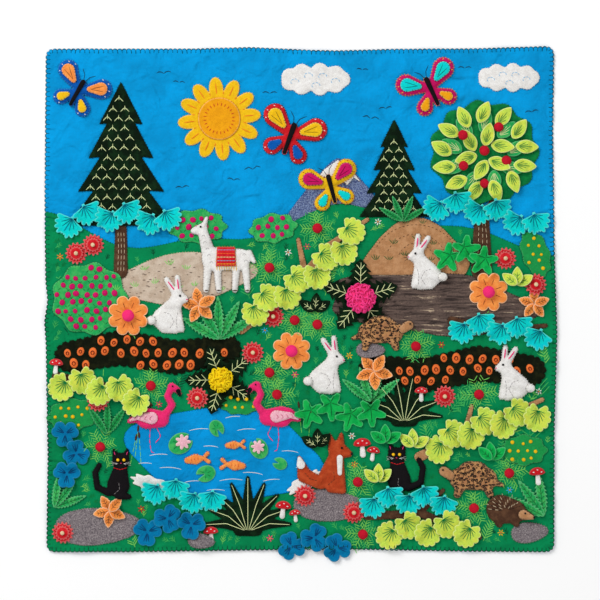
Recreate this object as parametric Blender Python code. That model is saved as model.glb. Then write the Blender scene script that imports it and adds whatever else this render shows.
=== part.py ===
"""Arpillera wall cloth: a blue ground cloth with a green land cloth, cut patches, padded
felt figures, garlands of felt leaves and wool pompoms sewn on top, lying face up.

The origin is the middle of the underside, X runs along the width, Y up the picture and
Z out of its face. Everything is in metres; rows of the tables are in centimetres.
"""
import math
from collections import namedtuple

import bmesh
import bpy
import numpy as np
from mathutils import Vector
from mathutils.geometry import delaunay_2d_cdt

CM = 0.01
MM = 0.001

# Cloths: cut sizes and thicknesses
CLOTH_WIDTH = 60.4 * CM
CLOTH_HEIGHT = 59.8 * CM
CORNER_RADIUS = 0.7 * CM
CLOTH_THICKNESS = 1.5 * MM
LAND_THICKNESS = 1.1 * MM
LAND_MARGIN = 0.15 * CM
PATCH_THICKNESS = 1.1 * MM
FELT_THICKNESS = 1.6 * MM
LEAF_THICKNESS = 2.0 * MM
SEWN_GAP = 0.42 * MM

# Padding: how far a piece swells above its sewn edge, and how far in from the edge
FIGURE_PUFF = 2.6 * MM
FLOWER_PUFF = 1.5 * MM
PUFF_REACH = 8 * MM
POMPOM_FLAT_SHARE = 0.55

# Mesh steps: spacing of the points that the cloth bends at, and how closely an outline is kept
GROUND_STEP = 34 * MM
PATCH_STEP = 26 * MM
FELT_STEP = 18 * MM
PADDED_STEP = 10 * MM
OUTLINE_STEP = 1 * MM
OUTLINE_SOFTNESS = 1.1 * MM
OUTLINE_TOLERANCE = 0.55 * MM
EDGE_CLEARANCE = 2.5 * MM
FOLD_SEEN = 0.12 * MM
FLAT_BELOW = 0.05 * MM
WELD_DISTANCE = 1e-6

# Grid that holds how high the sewn layers have grown so far
HEAP_SIDE = 0.66
HEAP_STEP = 1 * MM
SETTLING_ROUNDS = 8

LIMB_SIDES = 20
WAVE_POINTS = 72
CORNER_POINTS = 5
CREST_POINTS = 61

# The land's upper edge: its mean height and its long waves, in cm
Wave = namedtuple("Wave", "height length shift")
SKYLINE_HEIGHT = 8.6
SKYLINE_WAVES = (Wave(2.2, 44.0, 4.0), Wave(0.8, 17.0, 0.0))

# Soft folds left in the cloth: a ridge from one point to the other, where it is lower, in cm
FOLD_FADE = 0.75
Fold = namedtuple("Fold", "x y to_x to_y height width")
FOLDS = (
    Fold(-30.6, -1.6, -21.0, -3.0, 0.42, 0.75),
    Fold(-30.4, 22.4, -24.0, 21.6, 0.26, 0.70),
    Fold(-22.5, 20.5, -16.0, 13.8, 0.24, 0.80),
    Fold(0.6, 29.8, 3.0, 24.0, 0.30, 0.70),
    Fold(3.6, 29.8, 2.7, 24.4, 0.22, 0.55),
    Fold(26.2, 29.6, 27.0, 22.6, 0.30, 0.75),
    Fold(28.0, 0.4, 30.6, -4.4, 0.38, 0.80),
    Fold(23.6, -13.4, 30.6, -10.6, 0.30, 0.75),
    Fold(-13.0, 29.8, -11.4, 27.0, 0.20, 0.60),
    Fold(-30.4, -14.4, -25.6, -13.2, 0.22, 0.70),
    Fold(9.6, -29.8, 11.2, -26.2, 0.24, 0.70),
    Fold(-9.0, -29.8, -8.0, -26.6, 0.20, 0.65),
)

# Uneven edges: how far each side swells out or draws in, and over what length, in cm
Swell = namedtuple("Swell", "side along out width")
SWELLS = (
    Swell("top", -6.0, 0.20, 3.4),
    Swell("top", 4.0, -0.22, 4.6),
    Swell("top", 29.0, 0.30, 5.6),
    Swell("right", 21.0, -0.14, 5.0),
    Swell("right", -4.0, 0.36, 7.0),
    Swell("bottom", 3.5, -0.36, 13.0),
    Swell("left", 11.0, 0.14, 8.0),
    Swell("left", -0.2, -0.26, 1.3),
    Swell("left", -2.4, 0.18, 1.6),
    Swell("left", -20.0, -0.24, 9.0),
)

# Figures are made of tapered limbs, each a round end at x, y and another at to_x, to_y, in cm
Limb = namedtuple("Limb", "x y r to_x to_y to_r")
RABBIT = (
    Limb(-0.8, -1.1, 1.6, 0.3, 0.4, 1.15),
    Limb(0.4, 0.6, 1.0, 1.0, 1.6, 0.85),
    Limb(1.0, 1.7, 0.92, 1.9, 1.45, 0.5),
    Limb(0.6, 2.3, 0.42, -0.5, 4.1, 0.38),
    Limb(1.1, 2.4, 0.40, 0.9, 4.4, 0.36),
    Limb(-0.9, -2.5, 0.5, 0.8, -2.65, 0.4),
    Limb(1.0, -0.3, 0.5, 1.5, -2.55, 0.38),
    Limb(-2.5, -1.3, 0.55, -2.6, -1.2, 0.5),
)
LLAMA = (
    Limb(-1.6, 0.0, 1.45, 1.7, 0.0, 1.35),
    Limb(-2.2, 0.8, 0.85, -2.9, 3.5, 0.6),
    Limb(-3.0, 3.8, 0.7, -4.0, 3.5, 0.45),
    Limb(-2.7, 4.3, 0.32, -2.4, 5.2, 0.22),
    Limb(-2.3, -0.9, 0.5, -2.5, -3.9, 0.36),
    Limb(-1.1, -0.9, 0.5, -0.9, -3.9, 0.36),
    Limb(1.3, -0.9, 0.5, 1.1, -3.9, 0.36),
    Limb(2.4, -0.8, 0.5, 2.7, -3.9, 0.36),
    Limb(2.9, 0.8, 0.42, 3.5, -0.3, 0.3),
)
FOX = (
    Limb(0.0, -1.3, 1.55, 0.4, 0.6, 0.95),
    Limb(0.6, 1.8, 1.05, 2.1, 1.3, 0.34),
    Limb(0.0, 2.5, 0.45, -0.3, 3.6, 0.18),
    Limb(1.0, 2.7, 0.45, 1.1, 3.7, 0.18),
    Limb(-1.3, -2.1, 0.7, -3.2, -1.2, 0.85),
    Limb(-3.2, -1.2, 0.85, -3.8, 0.9, 0.24),
    Limb(1.0, -1.0, 0.45, 1.3, -3.0, 0.36),
    Limb(-0.2, -2.7, 0.5, 1.0, -2.9, 0.38),
)
CAT = (
    Limb(0.0, -1.1, 1.5, 0.2, 0.7, 1.0),
    Limb(0.3, 2.1, 1.1, 0.4, 2.0, 1.1),
    Limb(-0.4, 2.8, 0.42, -0.6, 3.7, 0.16),
    Limb(1.0, 2.8, 0.42, 1.2, 3.7, 0.16),
    Limb(-1.2, -2.1, 0.45, -2.8, -1.4, 0.42),
    Limb(-2.8, -1.4, 0.42, -3.1, 0.6, 0.38),
    Limb(-3.1, 0.6, 0.38, -2.5, 1.6, 0.34),
    Limb(0.1, -2.5, 0.45, 1.4, -2.6, 0.38),
)
TORTOISE = (
    Limb(-1.5, 0.0, 1.35, 1.5, 0.0, 1.35),
    Limb(-0.4, 0.6, 1.5, 0.4, 0.6, 1.5),
    Limb(2.4, 0.2, 0.5, 3.5, 0.9, 0.62),
    Limb(-1.7, -1.1, 0.55, -2.0, -1.9, 0.45),
    Limb(1.6, -1.1, 0.55, 1.9, -1.9, 0.45),
    Limb(-2.7, -0.5, 0.35, -3.6, -0.8, 0.2),
)
HEDGEHOG = (
    Limb(-0.8, 0.1, 1.8, 0.8, -0.2, 1.5),
    Limb(1.7, -0.5, 0.85, 3.2, -0.9, 0.28),
    Limb(-1.1, -1.7, 0.4, -0.9, -1.9, 0.36),
    Limb(1.0, -1.6, 0.4, 1.2, -1.8, 0.36),
)
FLAMINGO = (
    Limb(-0.8, 0.6, 1.3, 0.9, 0.5, 1.0),
    Limb(-1.7, 0.9, 0.75, -3.0, 0.2, 0.24),
    Limb(1.3, 0.9, 0.46, 2.3, 2.2, 0.40),
    Limb(2.3, 2.2, 0.40, 1.6, 3.3, 0.38),
    Limb(1.6, 3.3, 0.38, 2.1, 4.2, 0.40),
    Limb(2.2, 4.4, 0.55, 2.9, 4.1, 0.36),
    Limb(2.9, 4.1, 0.36, 3.2, 3.4, 0.2),
)
WING_PAIR = (
    Limb(0.5, 0.5, 0.5, 2.3, 1.7, 1.25),
    Limb(0.4, -0.4, 0.45, 1.5, -1.5, 0.95),
    Limb(-0.5, 0.5, 0.5, -2.3, 1.7, 1.25),
    Limb(-0.4, -0.4, 0.45, -1.5, -1.5, 0.95),
    Limb(0.0, 1.3, 0.36, 0.0, -1.7, 0.3),
)
TREE_TRUNK = (
    Limb(0.0, -5.6, 1.25, 0.0, 1.4, 0.8),
    Limb(0.0, 0.2, 0.7, -2.4, 4.4, 0.42),
    Limb(0.0, 0.2, 0.7, 2.8, 4.4, 0.42),
)
FIR_TRUNK = (Limb(0.0, -2.6, 0.85, 0.0, 2.6, 0.7),)
HEDGE = (
    Limb(-9.4, -0.5, 1.9, -3.2, 0.6, 2.2),
    Limb(-3.2, 0.6, 2.2, 3.2, -0.6, 2.1),
    Limb(3.2, -0.6, 2.1, 9.4, 0.4, 1.7),
)


def oval(half_width, half_height, waves=0, depth=0.0, phase=0.0):
    """Round outline with so many waves of that depth."""
    turn = np.arange(WAVE_POINTS) * math.tau / WAVE_POINTS
    radius = 1 + depth * np.cos(waves * turn + phase)
    return np.stack([half_width * radius * np.cos(turn), half_height * radius * np.sin(turn)], 1)


def petals(radius, count, depth):
    """Flower outline: round petals that meet in narrow notches."""
    turn = np.arange(3 * WAVE_POINTS) * math.tau / (3 * WAVE_POINTS)
    reach = radius * (1 - depth + depth * np.abs(np.cos(count * turn / 2)) ** 0.7)
    return np.stack([reach * np.cos(turn), reach * np.sin(turn)], 1)


def fan_leaf(reach=1.95, stalk=0.2):
    """Fan-shaped leaf with a notch at the middle of its wavy rim."""
    spread = np.linspace(-100, 100, 60)
    rim = reach * (1 + 0.05 * np.cos(np.radians(spread * 8)) - 0.30 * np.exp(-((spread / 7) ** 2)))
    turn = np.radians(spread)
    fan = np.stack([rim * np.sin(turn), rim * np.cos(turn) * 1.15 - 0.55], 1)
    foot = -1.95
    return np.concatenate([fan, [[stalk, -1.25], [stalk, foot], [-stalk, foot], [-stalk, -1.25]]])


def lobed_leaf(length=3.9, width=3.5, lobes=3):
    """Long leaf whose sides swing out in round lobes."""
    along = np.linspace(0, 1, 44)
    swing = 0.80 + 0.20 * np.cos(math.tau * lobes * along + math.pi)
    half = width / 2 * np.sin(math.pi * along**0.85) ** 0.6 * swing
    side = np.stack([half, length * (0.5 - along)], 1)
    return np.concatenate([side, side[::-1] * [-1, 1]])


def star_leaf(reach=1.95, points=5):
    """Leaf with pointed lobes round its middle."""
    turn = np.arange(WAVE_POINTS) * math.tau / WAVE_POINTS
    radius = reach * (0.74 + 0.26 * np.cos(points * (turn - math.pi / 2)))
    return np.stack([radius * np.cos(turn), radius * np.sin(turn)], 1)


def heart_lobes(reach=1.0):
    """Three heart-shaped leaflets of a clover."""
    lobes = []
    for leaflet in range(3):
        heading = math.pi / 2 + leaflet * math.tau / 3
        for side in (-0.36, 0.36):
            turn = heading + side
            tip_x, tip_y = 1.12 * reach * math.cos(turn), 1.12 * reach * math.sin(turn)
            lobes.append(Limb(tip_x, tip_y, 0.72 * reach, 0.0, 0.0, 0.34 * reach))
    return tuple(lobes)


def cloud(width, height, puffs=9):
    """Cloud of round puffs."""
    limbs = []
    for puff in range(puffs):
        turn = puff * math.tau / puffs
        x, y = 0.36 * width * math.cos(turn), 0.28 * height * math.sin(turn)
        limbs.append(Limb(0.0, 0.0, 0.25 * height, x, y, 0.27 * height))
    return tuple(limbs)


def fir(height, width, tiers=4):
    """Tree of stepped tiers that narrow to its tip."""
    right = []
    for tier in range(tiers):
        wide = width / 2 * (1 - 0.80 * tier / tiers)
        above = width / 2 * (1 - 0.80 * (tier + 1) / tiers)
        right.append((wide, height * tier / (tiers + 0.35) + 0.3))
        right.append((0.62 * above, height * (tier + 1) / (tiers + 0.35) + 0.5))
    right[-1] = (0.0, height)
    right = np.array(right)
    return np.concatenate([right, right[-2::-1] * [-1, 1]]) - [0, height / 2]


def hill(width, height, steepness, foot=1.4):
    """Rounded hill on a straight foot."""
    across = np.linspace(-1, 1, 25)
    crest = np.stack([across * width / 2, height * (1 - np.abs(across) ** steepness)], 1)
    return np.concatenate([crest, [[0.45 * width, -foot], [-0.45 * width, -foot]]])


def blades(count, length, spread=75.0, width=0.62):
    """Clump of long leaves that fan out from one foot."""
    limbs = []
    for blade in range(count):
        side = 2 * blade / (count - 1) - 1
        lean = math.radians(90 + spread * side)
        reach = length * (1 - 0.18 * abs(side))
        half_x, half_y = 0.5 * reach * math.cos(lean), 0.5 * reach * math.sin(lean) + 0.2
        tip_x, tip_y = reach * math.cos(lean), reach * math.sin(lean) - 0.6 * abs(math.cos(lean))
        limbs.append(Limb(0.12 * side * count, 0.0, width, half_x, half_y, width))
        limbs.append(Limb(half_x, half_y, width, tip_x, tip_y, 0.2))
    return tuple(limbs)


def skyline(x):
    """Height of the land's upper edge at x, in cm."""
    return SKYLINE_HEIGHT + sum(
        wave.height * math.sin(math.tau * (x + wave.shift) / wave.length) for wave in SKYLINE_WAVES
    )


def limb_outline(limb):
    """Outline round one tapered limb."""
    start, end = np.array([limb.x, limb.y]), np.array([limb.to_x, limb.to_y])
    points = []
    for side in range(LIMB_SIDES):
        turn = math.tau * side / LIMB_SIDES
        way = np.array([math.cos(turn), math.sin(turn)])
        if start @ way + limb.r > end @ way + limb.to_r:
            points.append(start + way * limb.r)
        else:
            points.append(end + way * limb.to_r)
    return np.array(points)


def outlines_of(shape):
    """A shape as a list of outlines, whether it is one outline or a tuple of limbs."""
    if isinstance(shape, tuple):
        return [limb_outline(limb) for limb in shape]
    return [shape]


def placed(outline, x, y, turn=0.0, size=1.0, flip=1):
    """An outline in cm, turned, sized and set at x, y, in metres."""
    way = math.radians(turn)
    across, up = outline[:, 0] * size * flip, outline[:, 1] * size
    place_x = x + math.cos(way) * across - math.sin(way) * up
    place_y = y + math.sin(way) * across + math.cos(way) * up
    return np.stack([place_x, place_y], 1) * CM


def joined(outlines):
    """The outer outline of outlines that overlap."""
    points, loops = [], []
    for outline in outlines:
        loops.append(list(range(len(points), len(points) + len(outline))))
        points += [Vector(point) for point in outline]
    verts, _, faces, _, _, _ = delaunay_2d_cdt(points, [], loops, 1, WELD_DISTANCE)
    uses = {}
    for face in faces:
        for a, b in zip(face, face[1:] + face[:1]):
            uses[(a, b)] = True
    following = {a: b for a, b in uses if (b, a) not in uses}
    found = []
    while following:
        start = next(iter(following))
        loop, here = [start], following.pop(start)
        while here != start:
            loop.append(here)
            here = following.pop(here)
        ring = np.array([verts[index][:] for index in loop])
        found.append((abs(ring_area(ring)), ring))
    return max(found, key=lambda item: item[0])[1]


def ring_area(ring):
    """Signed area inside a closed outline."""
    after = np.roll(ring, -1, axis=0)
    return 0.5 * float(np.sum(ring[:, 0] * after[:, 1] - after[:, 0] * ring[:, 1]))


def softened(ring):
    """An outline with even steps and its sharp corners rounded as scissors round them."""
    if ring_area(ring) < 0:
        ring = ring[::-1]
    closed = np.concatenate([ring, ring[:1]])
    length = np.concatenate([[0], np.cumsum(np.linalg.norm(np.diff(closed, axis=0), axis=1))])
    count = max(24, int(length[-1] / OUTLINE_STEP))
    at = np.arange(count) * length[-1] / count
    even = np.stack([np.interp(at, length, closed[:, axis]) for axis in (0, 1)], 1)
    step = length[-1] / count
    waves = np.fft.fftfreq(count, d=step)
    fade = np.exp(-2 * (math.pi * waves * OUTLINE_SOFTNESS) ** 2)
    return np.stack([np.fft.ifft(np.fft.fft(even[:, axis]) * fade).real for axis in (0, 1)], 1)


def simplified(ring, tolerance):
    """The few points of an outline that keep its shape within the tolerance."""
    far = int(np.argmax(np.linalg.norm(ring - ring[0], axis=1)))
    keep = {0, far}
    spans = [(0, far), (far, len(ring))]
    while spans:
        first, last = spans.pop()
        if last - first < 2:
            continue
        a, b = ring[first], ring[last % len(ring)]
        between = ring[first + 1 : last]
        way = (b - a) / np.linalg.norm(b - a)
        off = np.abs((between[:, 0] - a[0]) * way[1] - (between[:, 1] - a[1]) * way[0])
        worst = int(np.argmax(off))
        if off[worst] > tolerance:
            middle = first + 1 + worst
            keep.add(middle)
            spans += [(first, middle), (middle, last)]
    return ring[sorted(keep)]


def edge_distance(points, ring):
    """How far each point is from an outline, below zero outside it."""
    a, b = ring, np.roll(ring, -1, axis=0)
    along = b - a
    rel = points[:, None, :] - a[None]
    share = np.clip((rel * along).sum(2) / (along**2).sum(1), 0, 1)
    away = np.linalg.norm(rel - share[..., None] * along, axis=2).min(axis=1)
    above = (a[:, 1] > points[:, 1, None]) != (b[:, 1] > points[:, 1, None])
    rise = np.where(along[:, 1] == 0, 1, along[:, 1])
    cross_x = a[:, 0] + (points[:, 1, None] - a[:, 1]) / rise * along[:, 0]
    inside = ((points[:, 0, None] < cross_x) & above).sum(axis=1) % 2 == 1
    return np.where(inside, away, -away)


def lattice(ring, step):
    """Even triangular lattice of points inside an outline."""
    low, high = ring.min(axis=0), ring.max(axis=0)
    rows = int((high[1] - low[1]) / (step * math.sqrt(0.75))) + 2
    columns = int((high[0] - low[0]) / step) + 2
    points = []
    for row in range(rows):
        for column in range(columns):
            x = low[0] + (column + 0.5 * (row % 2)) * step
            points.append((x, low[1] + row * step * math.sqrt(0.75)))
    points = np.array(points)
    return points[edge_distance(points, ring) > EDGE_CLEARANCE]


def fold_height(points):
    """Height of the cloth's soft folds above the surface it lies on."""
    height = np.zeros(len(points))
    for fold in FOLDS:
        start = np.array([fold.x, fold.y]) * CM
        along = np.array([fold.to_x, fold.to_y]) * CM - start
        share = np.clip((points - start) @ along / (along @ along), 0, 1)
        away = np.linalg.norm(points - start - share[:, None] * along, axis=1)
        crest = fold.height * CM * (1 - FOLD_FADE * share)
        height = np.maximum(height, crest * np.exp(-((away / (fold.width * CM)) ** 2)))
    return np.where(height < FLAT_BELOW, 0.0, height)


class Heap:
    """How high the sewn layers have grown so far, on an even grid."""

    def __init__(self):
        count = int(HEAP_SIDE / HEAP_STEP) + 1
        line = np.arange(count) * HEAP_STEP - HEAP_SIDE / 2
        self.x, self.y = np.meshgrid(line, line, indexing="ij")
        self.top = np.full((count, count), CLOTH_THICKNESS)

    def cells(self, corners):
        """The grid cells at a triangle, and the weights of its corners in each."""
        low = np.floor((corners.min(axis=0) + HEAP_SIDE / 2) / HEAP_STEP).astype(int) - 1
        high = np.ceil((corners.max(axis=0) + HEAP_SIDE / 2) / HEAP_STEP).astype(int) + 2
        block = (slice(low[0], high[0]), slice(low[1], high[1]))
        x, y = self.x[block], self.y[block]
        double_area = np.cross(corners[1] - corners[0], corners[2] - corners[0])
        inner = np.zeros((3, *x.shape))
        edge = np.zeros((3, *x.shape))
        nearest = np.full(x.shape, np.inf)
        for corner in range(3):
            after, last = (corner + 1) % 3, (corner + 2) % 3
            a, b = corners[after], corners[last]
            way = b - a
            inner[corner] = (way[0] * (y - a[1]) - way[1] * (x - a[0])) / double_area
            share = np.clip(((x - a[0]) * way[0] + (y - a[1]) * way[1]) / (way @ way), 0, 1)
            away = np.hypot(x - a[0] - share * way[0], y - a[1] - share * way[1])
            closer = away < nearest
            nearest = np.where(closer, away, nearest)
            edge[corner] = np.where(closer, 0.0, edge[corner])
            edge[after] = np.where(closer, 1 - share, edge[after])
            edge[last] = np.where(closer, share, edge[last])
        within = (inner >= 0).all(axis=0)
        taken = within | (nearest < HEAP_STEP)
        return block, taken, np.where(within, inner, edge)[:, taken]

    def lay(self, points, triangles):
        """Heights at which a sheet bent at these points clears all that lies below it."""
        place = np.rint((points + HEAP_SIDE / 2) / HEAP_STEP).astype(int)
        height = self.top[place[:, 0], place[:, 1]] + SEWN_GAP
        below = []
        for triangle in triangles:
            block, taken, weights = self.cells(points[triangle])
            below.append((self.top[block][taken] + SEWN_GAP, weights))
        for _ in range(SETTLING_ROUNDS):
            for triangle, (surface, weights) in zip(triangles, below):
                short = surface - height[triangle] @ weights
                worst = int(np.argmax(short))
                if short[worst] > 0:
                    share = weights[:, worst]
                    height[triangle] += short[worst] * share / (share @ share)
        lift = np.zeros(len(points))
        for triangle, (surface, weights) in zip(triangles, below):
            short = surface - height[triangle] @ weights
            lift[triangle] = np.maximum(lift[triangle], short.max(initial=0.0))
        return height + lift

    def add(self, points, triangles, height):
        """Raise the grid to the top of a sheet that has been laid."""
        for triangle in triangles:
            block, inside, weights = self.cells(points[triangle])
            layer = self.top[block]
            layer[inside] = np.maximum(layer[inside], height[triangle] @ weights)


def linear(value):
    """A colour part from 0 to 255 as the light value that Blender uses."""
    share = value / 255
    return share / 12.92 if share <= 0.04045 else ((share + 0.055) / 1.055) ** 2.4


def cloth_material(name, colour, roughness=0.9):
    """Matt cloth in one colour."""
    material = bpy.data.materials.get(name)
    if material is None:
        material = bpy.data.materials.new(name)
        material.use_nodes = True
        surface = material.node_tree.nodes["Principled BSDF"]
        surface.inputs["Base Color"].default_value = (*[linear(part) for part in colour], 1)
        surface.inputs["Roughness"].default_value = roughness
        surface.inputs["Metallic"].default_value = 0.0
    return material


def finish_object(name, mesh_data, colour_name):
    """Put a finished mesh in the cloth's collection with its material."""
    mesh = bpy.data.meshes.new(name)
    mesh_data.to_mesh(mesh)
    mesh_data.free()
    mesh.materials.append(cloth_material(colour_name, COLOURS[colour_name]))
    obj = bpy.data.objects.new(name, mesh)
    PARTS.objects.link(obj)
    return obj


def filled(ring, inner):
    """Points and triangles of the surface inside an outline, bent at the inner points."""
    points = [Vector(point) for point in np.concatenate([ring, inner])]
    rim = list(range(len(ring)))
    verts, _, faces, _, _, _ = delaunay_2d_cdt(points, [], [rim], 1, WELD_DISTANCE)
    return np.array([vert[:] for vert in verts]), [list(face) for face in faces]


def solid_sheet(name, points, triangles, bottom, thickness, colour_name):
    """A sheet bent to the bottom heights, with its thickness at each point above them."""
    sheet = bmesh.new()
    verts = [sheet.verts.new((x, y, z)) for (x, y), z in zip(points, bottom)]
    for triangle in triangles:
        sheet.faces.new([verts[index] for index in triangle])
    raised = bmesh.ops.extrude_face_region(sheet, geom=sheet.faces[:])["geom"]
    top = [item for item in raised if isinstance(item, bmesh.types.BMVert)]
    above = {(round(x, 7), round(y, 7)): size for (x, y), size in zip(points.tolist(), thickness)}
    for vert in top:
        vert.co.z += above[(round(vert.co.x, 7), round(vert.co.y, 7))]
    bmesh.ops.recalc_face_normals(sheet, faces=sheet.faces[:])
    return finish_object(name, sheet, colour_name)


def crown(points, ring, puff):
    """Extra height of a padded piece: nothing at its sewn edge, full away from it."""
    share = np.clip(edge_distance(points, ring) / PUFF_REACH, 0, 1)
    return puff * np.sqrt(share * (2 - share))


def sewn_piece(name, outlines, colour_name, thickness, step, puff=0.0):
    """Cut a piece along the outlines' outer edge and lay it on the heap."""
    ring = simplified(softened(joined(outlines)), OUTLINE_TOLERANCE)
    points, triangles = filled(ring, lattice(ring, step))
    bottom = HEAP.lay(points, triangles)
    size = thickness + crown(points, ring, puff)
    HEAP.add(points, triangles, bottom + size)
    return solid_sheet(name, points, triangles, bottom, size, colour_name)


def pompom(row):
    """Ball of clipped wool, flattened where it is sewn down."""
    radius, height = row.radius * CM, row.height * CM
    lowest = -POMPOM_FLAT_SHARE * height
    out = np.hypot(HEAP.x - row.x * CM, HEAP.y - row.y * CM) / radius
    round_side = -height * np.sqrt(np.clip(1 - out**2, 0, 1))
    under = np.maximum(round_side, lowest) - lowest
    seat = (HEAP.top - under)[out < 1].max() + SEWN_GAP
    ball = bmesh.new()
    bmesh.ops.create_uvsphere(ball, u_segments=12, v_segments=8, radius=radius)
    for vert in ball.verts:
        vert.co.z = max(vert.co.z * height / radius, lowest) - lowest + seat
        vert.co.x += row.x * CM
        vert.co.y += row.y * CM
    return finish_object(row.name, ball, row.colour)


def cloth_outline():
    """The uneven, round-cornered outline of the ground cloth, from its top right corner on."""
    half_w, half_h = CLOTH_WIDTH / 2, CLOTH_HEIGHT / 2
    corner = []
    for quarter, (sx, sy) in enumerate(((1, 1), (-1, 1), (-1, -1), (1, -1))):
        for turn in np.radians(np.linspace(90 * quarter, 90 * quarter + 90, CORNER_POINTS)):
            x = sx * (half_w - CORNER_RADIUS) + CORNER_RADIUS * math.cos(turn)
            y = sy * (half_h - CORNER_RADIUS) + CORNER_RADIUS * math.sin(turn)
            corner.append((x, y))
    ring = softened(np.array(corner))
    outward = {"top": (0, 1), "right": (1, 0), "bottom": (0, -1), "left": (-1, 0)}
    for swell in SWELLS:
        way = np.array(outward[swell.side])
        along = ring @ np.abs(way[::-1])
        close = np.clip(ring @ way / (half_h if way[1] else half_w), 0, 1) ** 8
        bump = swell.out * CM * np.exp(-(((along / CM - swell.along) / swell.width) ** 2))
        ring = ring + (close * bump)[:, None] * way
    return ring


def bending_points(ring, step):
    """Points where a large cloth bends: close together on its folds, wide apart elsewhere."""
    fine_step = step / 2
    fine = lattice(ring, fine_step)
    steps = (fine - ring.min(axis=0)) / (fine_step, fine_step * math.sqrt(0.75))
    row, column = np.rint(steps[:, 1]).astype(int), np.floor(steps[:, 0] + 0.25).astype(int)
    wide_apart = (row % 2 == 0) & ((column - row // 2) % 2 == 0)
    return fine[wide_apart | (fold_height(fine) > FOLD_SEEN)]


def ground_cloth(ring):
    """The blue cloth that all the rest is sewn to."""
    edge = simplified(ring, OUTLINE_TOLERANCE)
    points, triangles = filled(edge, bending_points(edge, GROUND_STEP))
    bottom = fold_height(points)
    size = np.full(len(points), CLOTH_THICKNESS)
    HEAP.add(points, triangles, bottom + size)
    return solid_sheet("ground_cloth", points, triangles, bottom, size, "sky_blue")


def land_cloth(ring):
    """The green cloth over the lower part, cut to a wavy skyline and short of the edge."""
    inner = ring * (1 - 2 * LAND_MARGIN / CLOTH_WIDTH)
    below = [point for point in inner if point[1] < skyline(point[0] / CM) * CM]
    across = np.linspace(below[-1][0], below[0][0], CREST_POINTS)
    crest = [(x, skyline(x / CM) * CM) for x in across[1:-1]]
    edge = simplified(softened(np.array(below + crest)), OUTLINE_TOLERANCE)
    points, triangles = filled(edge, bending_points(edge, GROUND_STEP))
    bottom = HEAP.lay(points, triangles)
    size = np.full(len(points), LAND_THICKNESS)
    HEAP.add(points, triangles, bottom + size)
    return solid_sheet("land_cloth", points, triangles, bottom, size, "land_green")


def leaf_run(row):
    """Outlines of a run of overlapping leaves, turned to either side by turns."""
    outlines = []
    start, end = np.array([row.x, row.y]), np.array([row.to_x, row.to_y])
    length = np.linalg.norm(end - start)
    way = (end - start) / length
    heading = math.degrees(math.atan2(way[1], way[0]))
    gaps = round(length / LEAF_SPACING)
    for leaf in range(gaps + 1):
        share = leaf / gaps
        side = 1 if leaf % 2 else -1
        off = 4 * row.bow * share * (1 - share) + side * LEAF_STAGGER
        x, y = start + (end - start) * share + off * np.array([-way[1], way[0]])
        turn = heading + 180 + LEAF_LEAN * side + LEAF_TWIST * math.sin(3.1 * leaf + row.x)
        for outline in outlines_of(LEAVES[row.leaf]):
            outlines.append(placed(outline, x, y, turn, row.size))
    return outlines


COLOURS = {
    "sky_blue": (2, 155, 213),
    "land_green": (3, 130, 82),
    "denim": (94, 117, 153),
    "tan_felt": (174, 126, 83),
    "beige_print": (213, 194, 178),
    "bark_print": (79, 64, 59),
    "grey_fleece": (125, 115, 120),
    "dark_green": (12, 40, 26),
    "bush_green": (38, 168, 90),
    "emerald": (10, 175, 80),
    "brown_felt": (58, 38, 27),
    "white_felt": (236, 232, 230),
    "black_felt": (15, 12, 15),
    "rust_felt": (170, 60, 28),
    "leopard_print": (160, 110, 66),
    "sun_yellow": (248, 185, 21),
    "pink_wool": (241, 39, 110),
    "red_felt": (200, 25, 35),
    "magenta": (195, 20, 95),
    "blue_felt": (6, 93, 178),
    "orange": (255, 142, 73),
    "turquoise": (3, 202, 191),
    "lime": (190, 220, 85),
    "teal": (0, 130, 170),
}

LEAVES = {
    "fan": fan_leaf(),
    "lobed": lobed_leaf(),
    "star": star_leaf(),
    "clover": heart_lobes(),
}
LEAF_SPACING = 2.2
LEAF_STAGGER = 0.5
LEAF_LEAN = 24.0
LEAF_TWIST = 14.0

Piece = namedtuple("Piece", "name shape x y turn size flip colour")
MOUNTAIN = Piece("mountain_patch", hill(17.0, 10.5, 1.25), 4.5, 6.5, 0, 1.0, 1, "denim")
# Flat patches, from the lowest layer up
PATCHES = (
    Piece("pond_cloth", oval(11.5, 5.6, 4, 0.07, 1.0), -9.0, -18.3, -6, 1.0, 1, "sky_blue"),
    Piece("hill_patch", hill(13.0, 5.5, 2.0), 13.8, 4.4, 0, 1.0, 1, "tan_felt"),
    Piece("bark_patch", oval(12.3, 3.6, 5, 0.08), 15.6, -0.4, -4, 1.0, 1, "bark_print"),
    Piece("straw_patch", oval(8.5, 2.9, 4, 0.07), -14.0, 2.6, 6, 1.0, 1, "beige_print"),
    Piece("stone_left", oval(5.2, 2.2, 3, 0.05), -24.2, -26.9, 2, 1.0, 1, "grey_fleece"),
    Piece("stone_middle", oval(4.4, 1.9, 3, 0.05), 3.4, -24.4, -3, 1.0, 1, "grey_fleece"),
    Piece("tree_trunk", TREE_TRUNK, 21.6, 9.2, 0, 1.0, 1, "brown_felt"),
    Piece("fir_trunk_left", FIR_TRUNK, -21.3, 6.0, 0, 1.0, 1, "brown_felt"),
)
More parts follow.
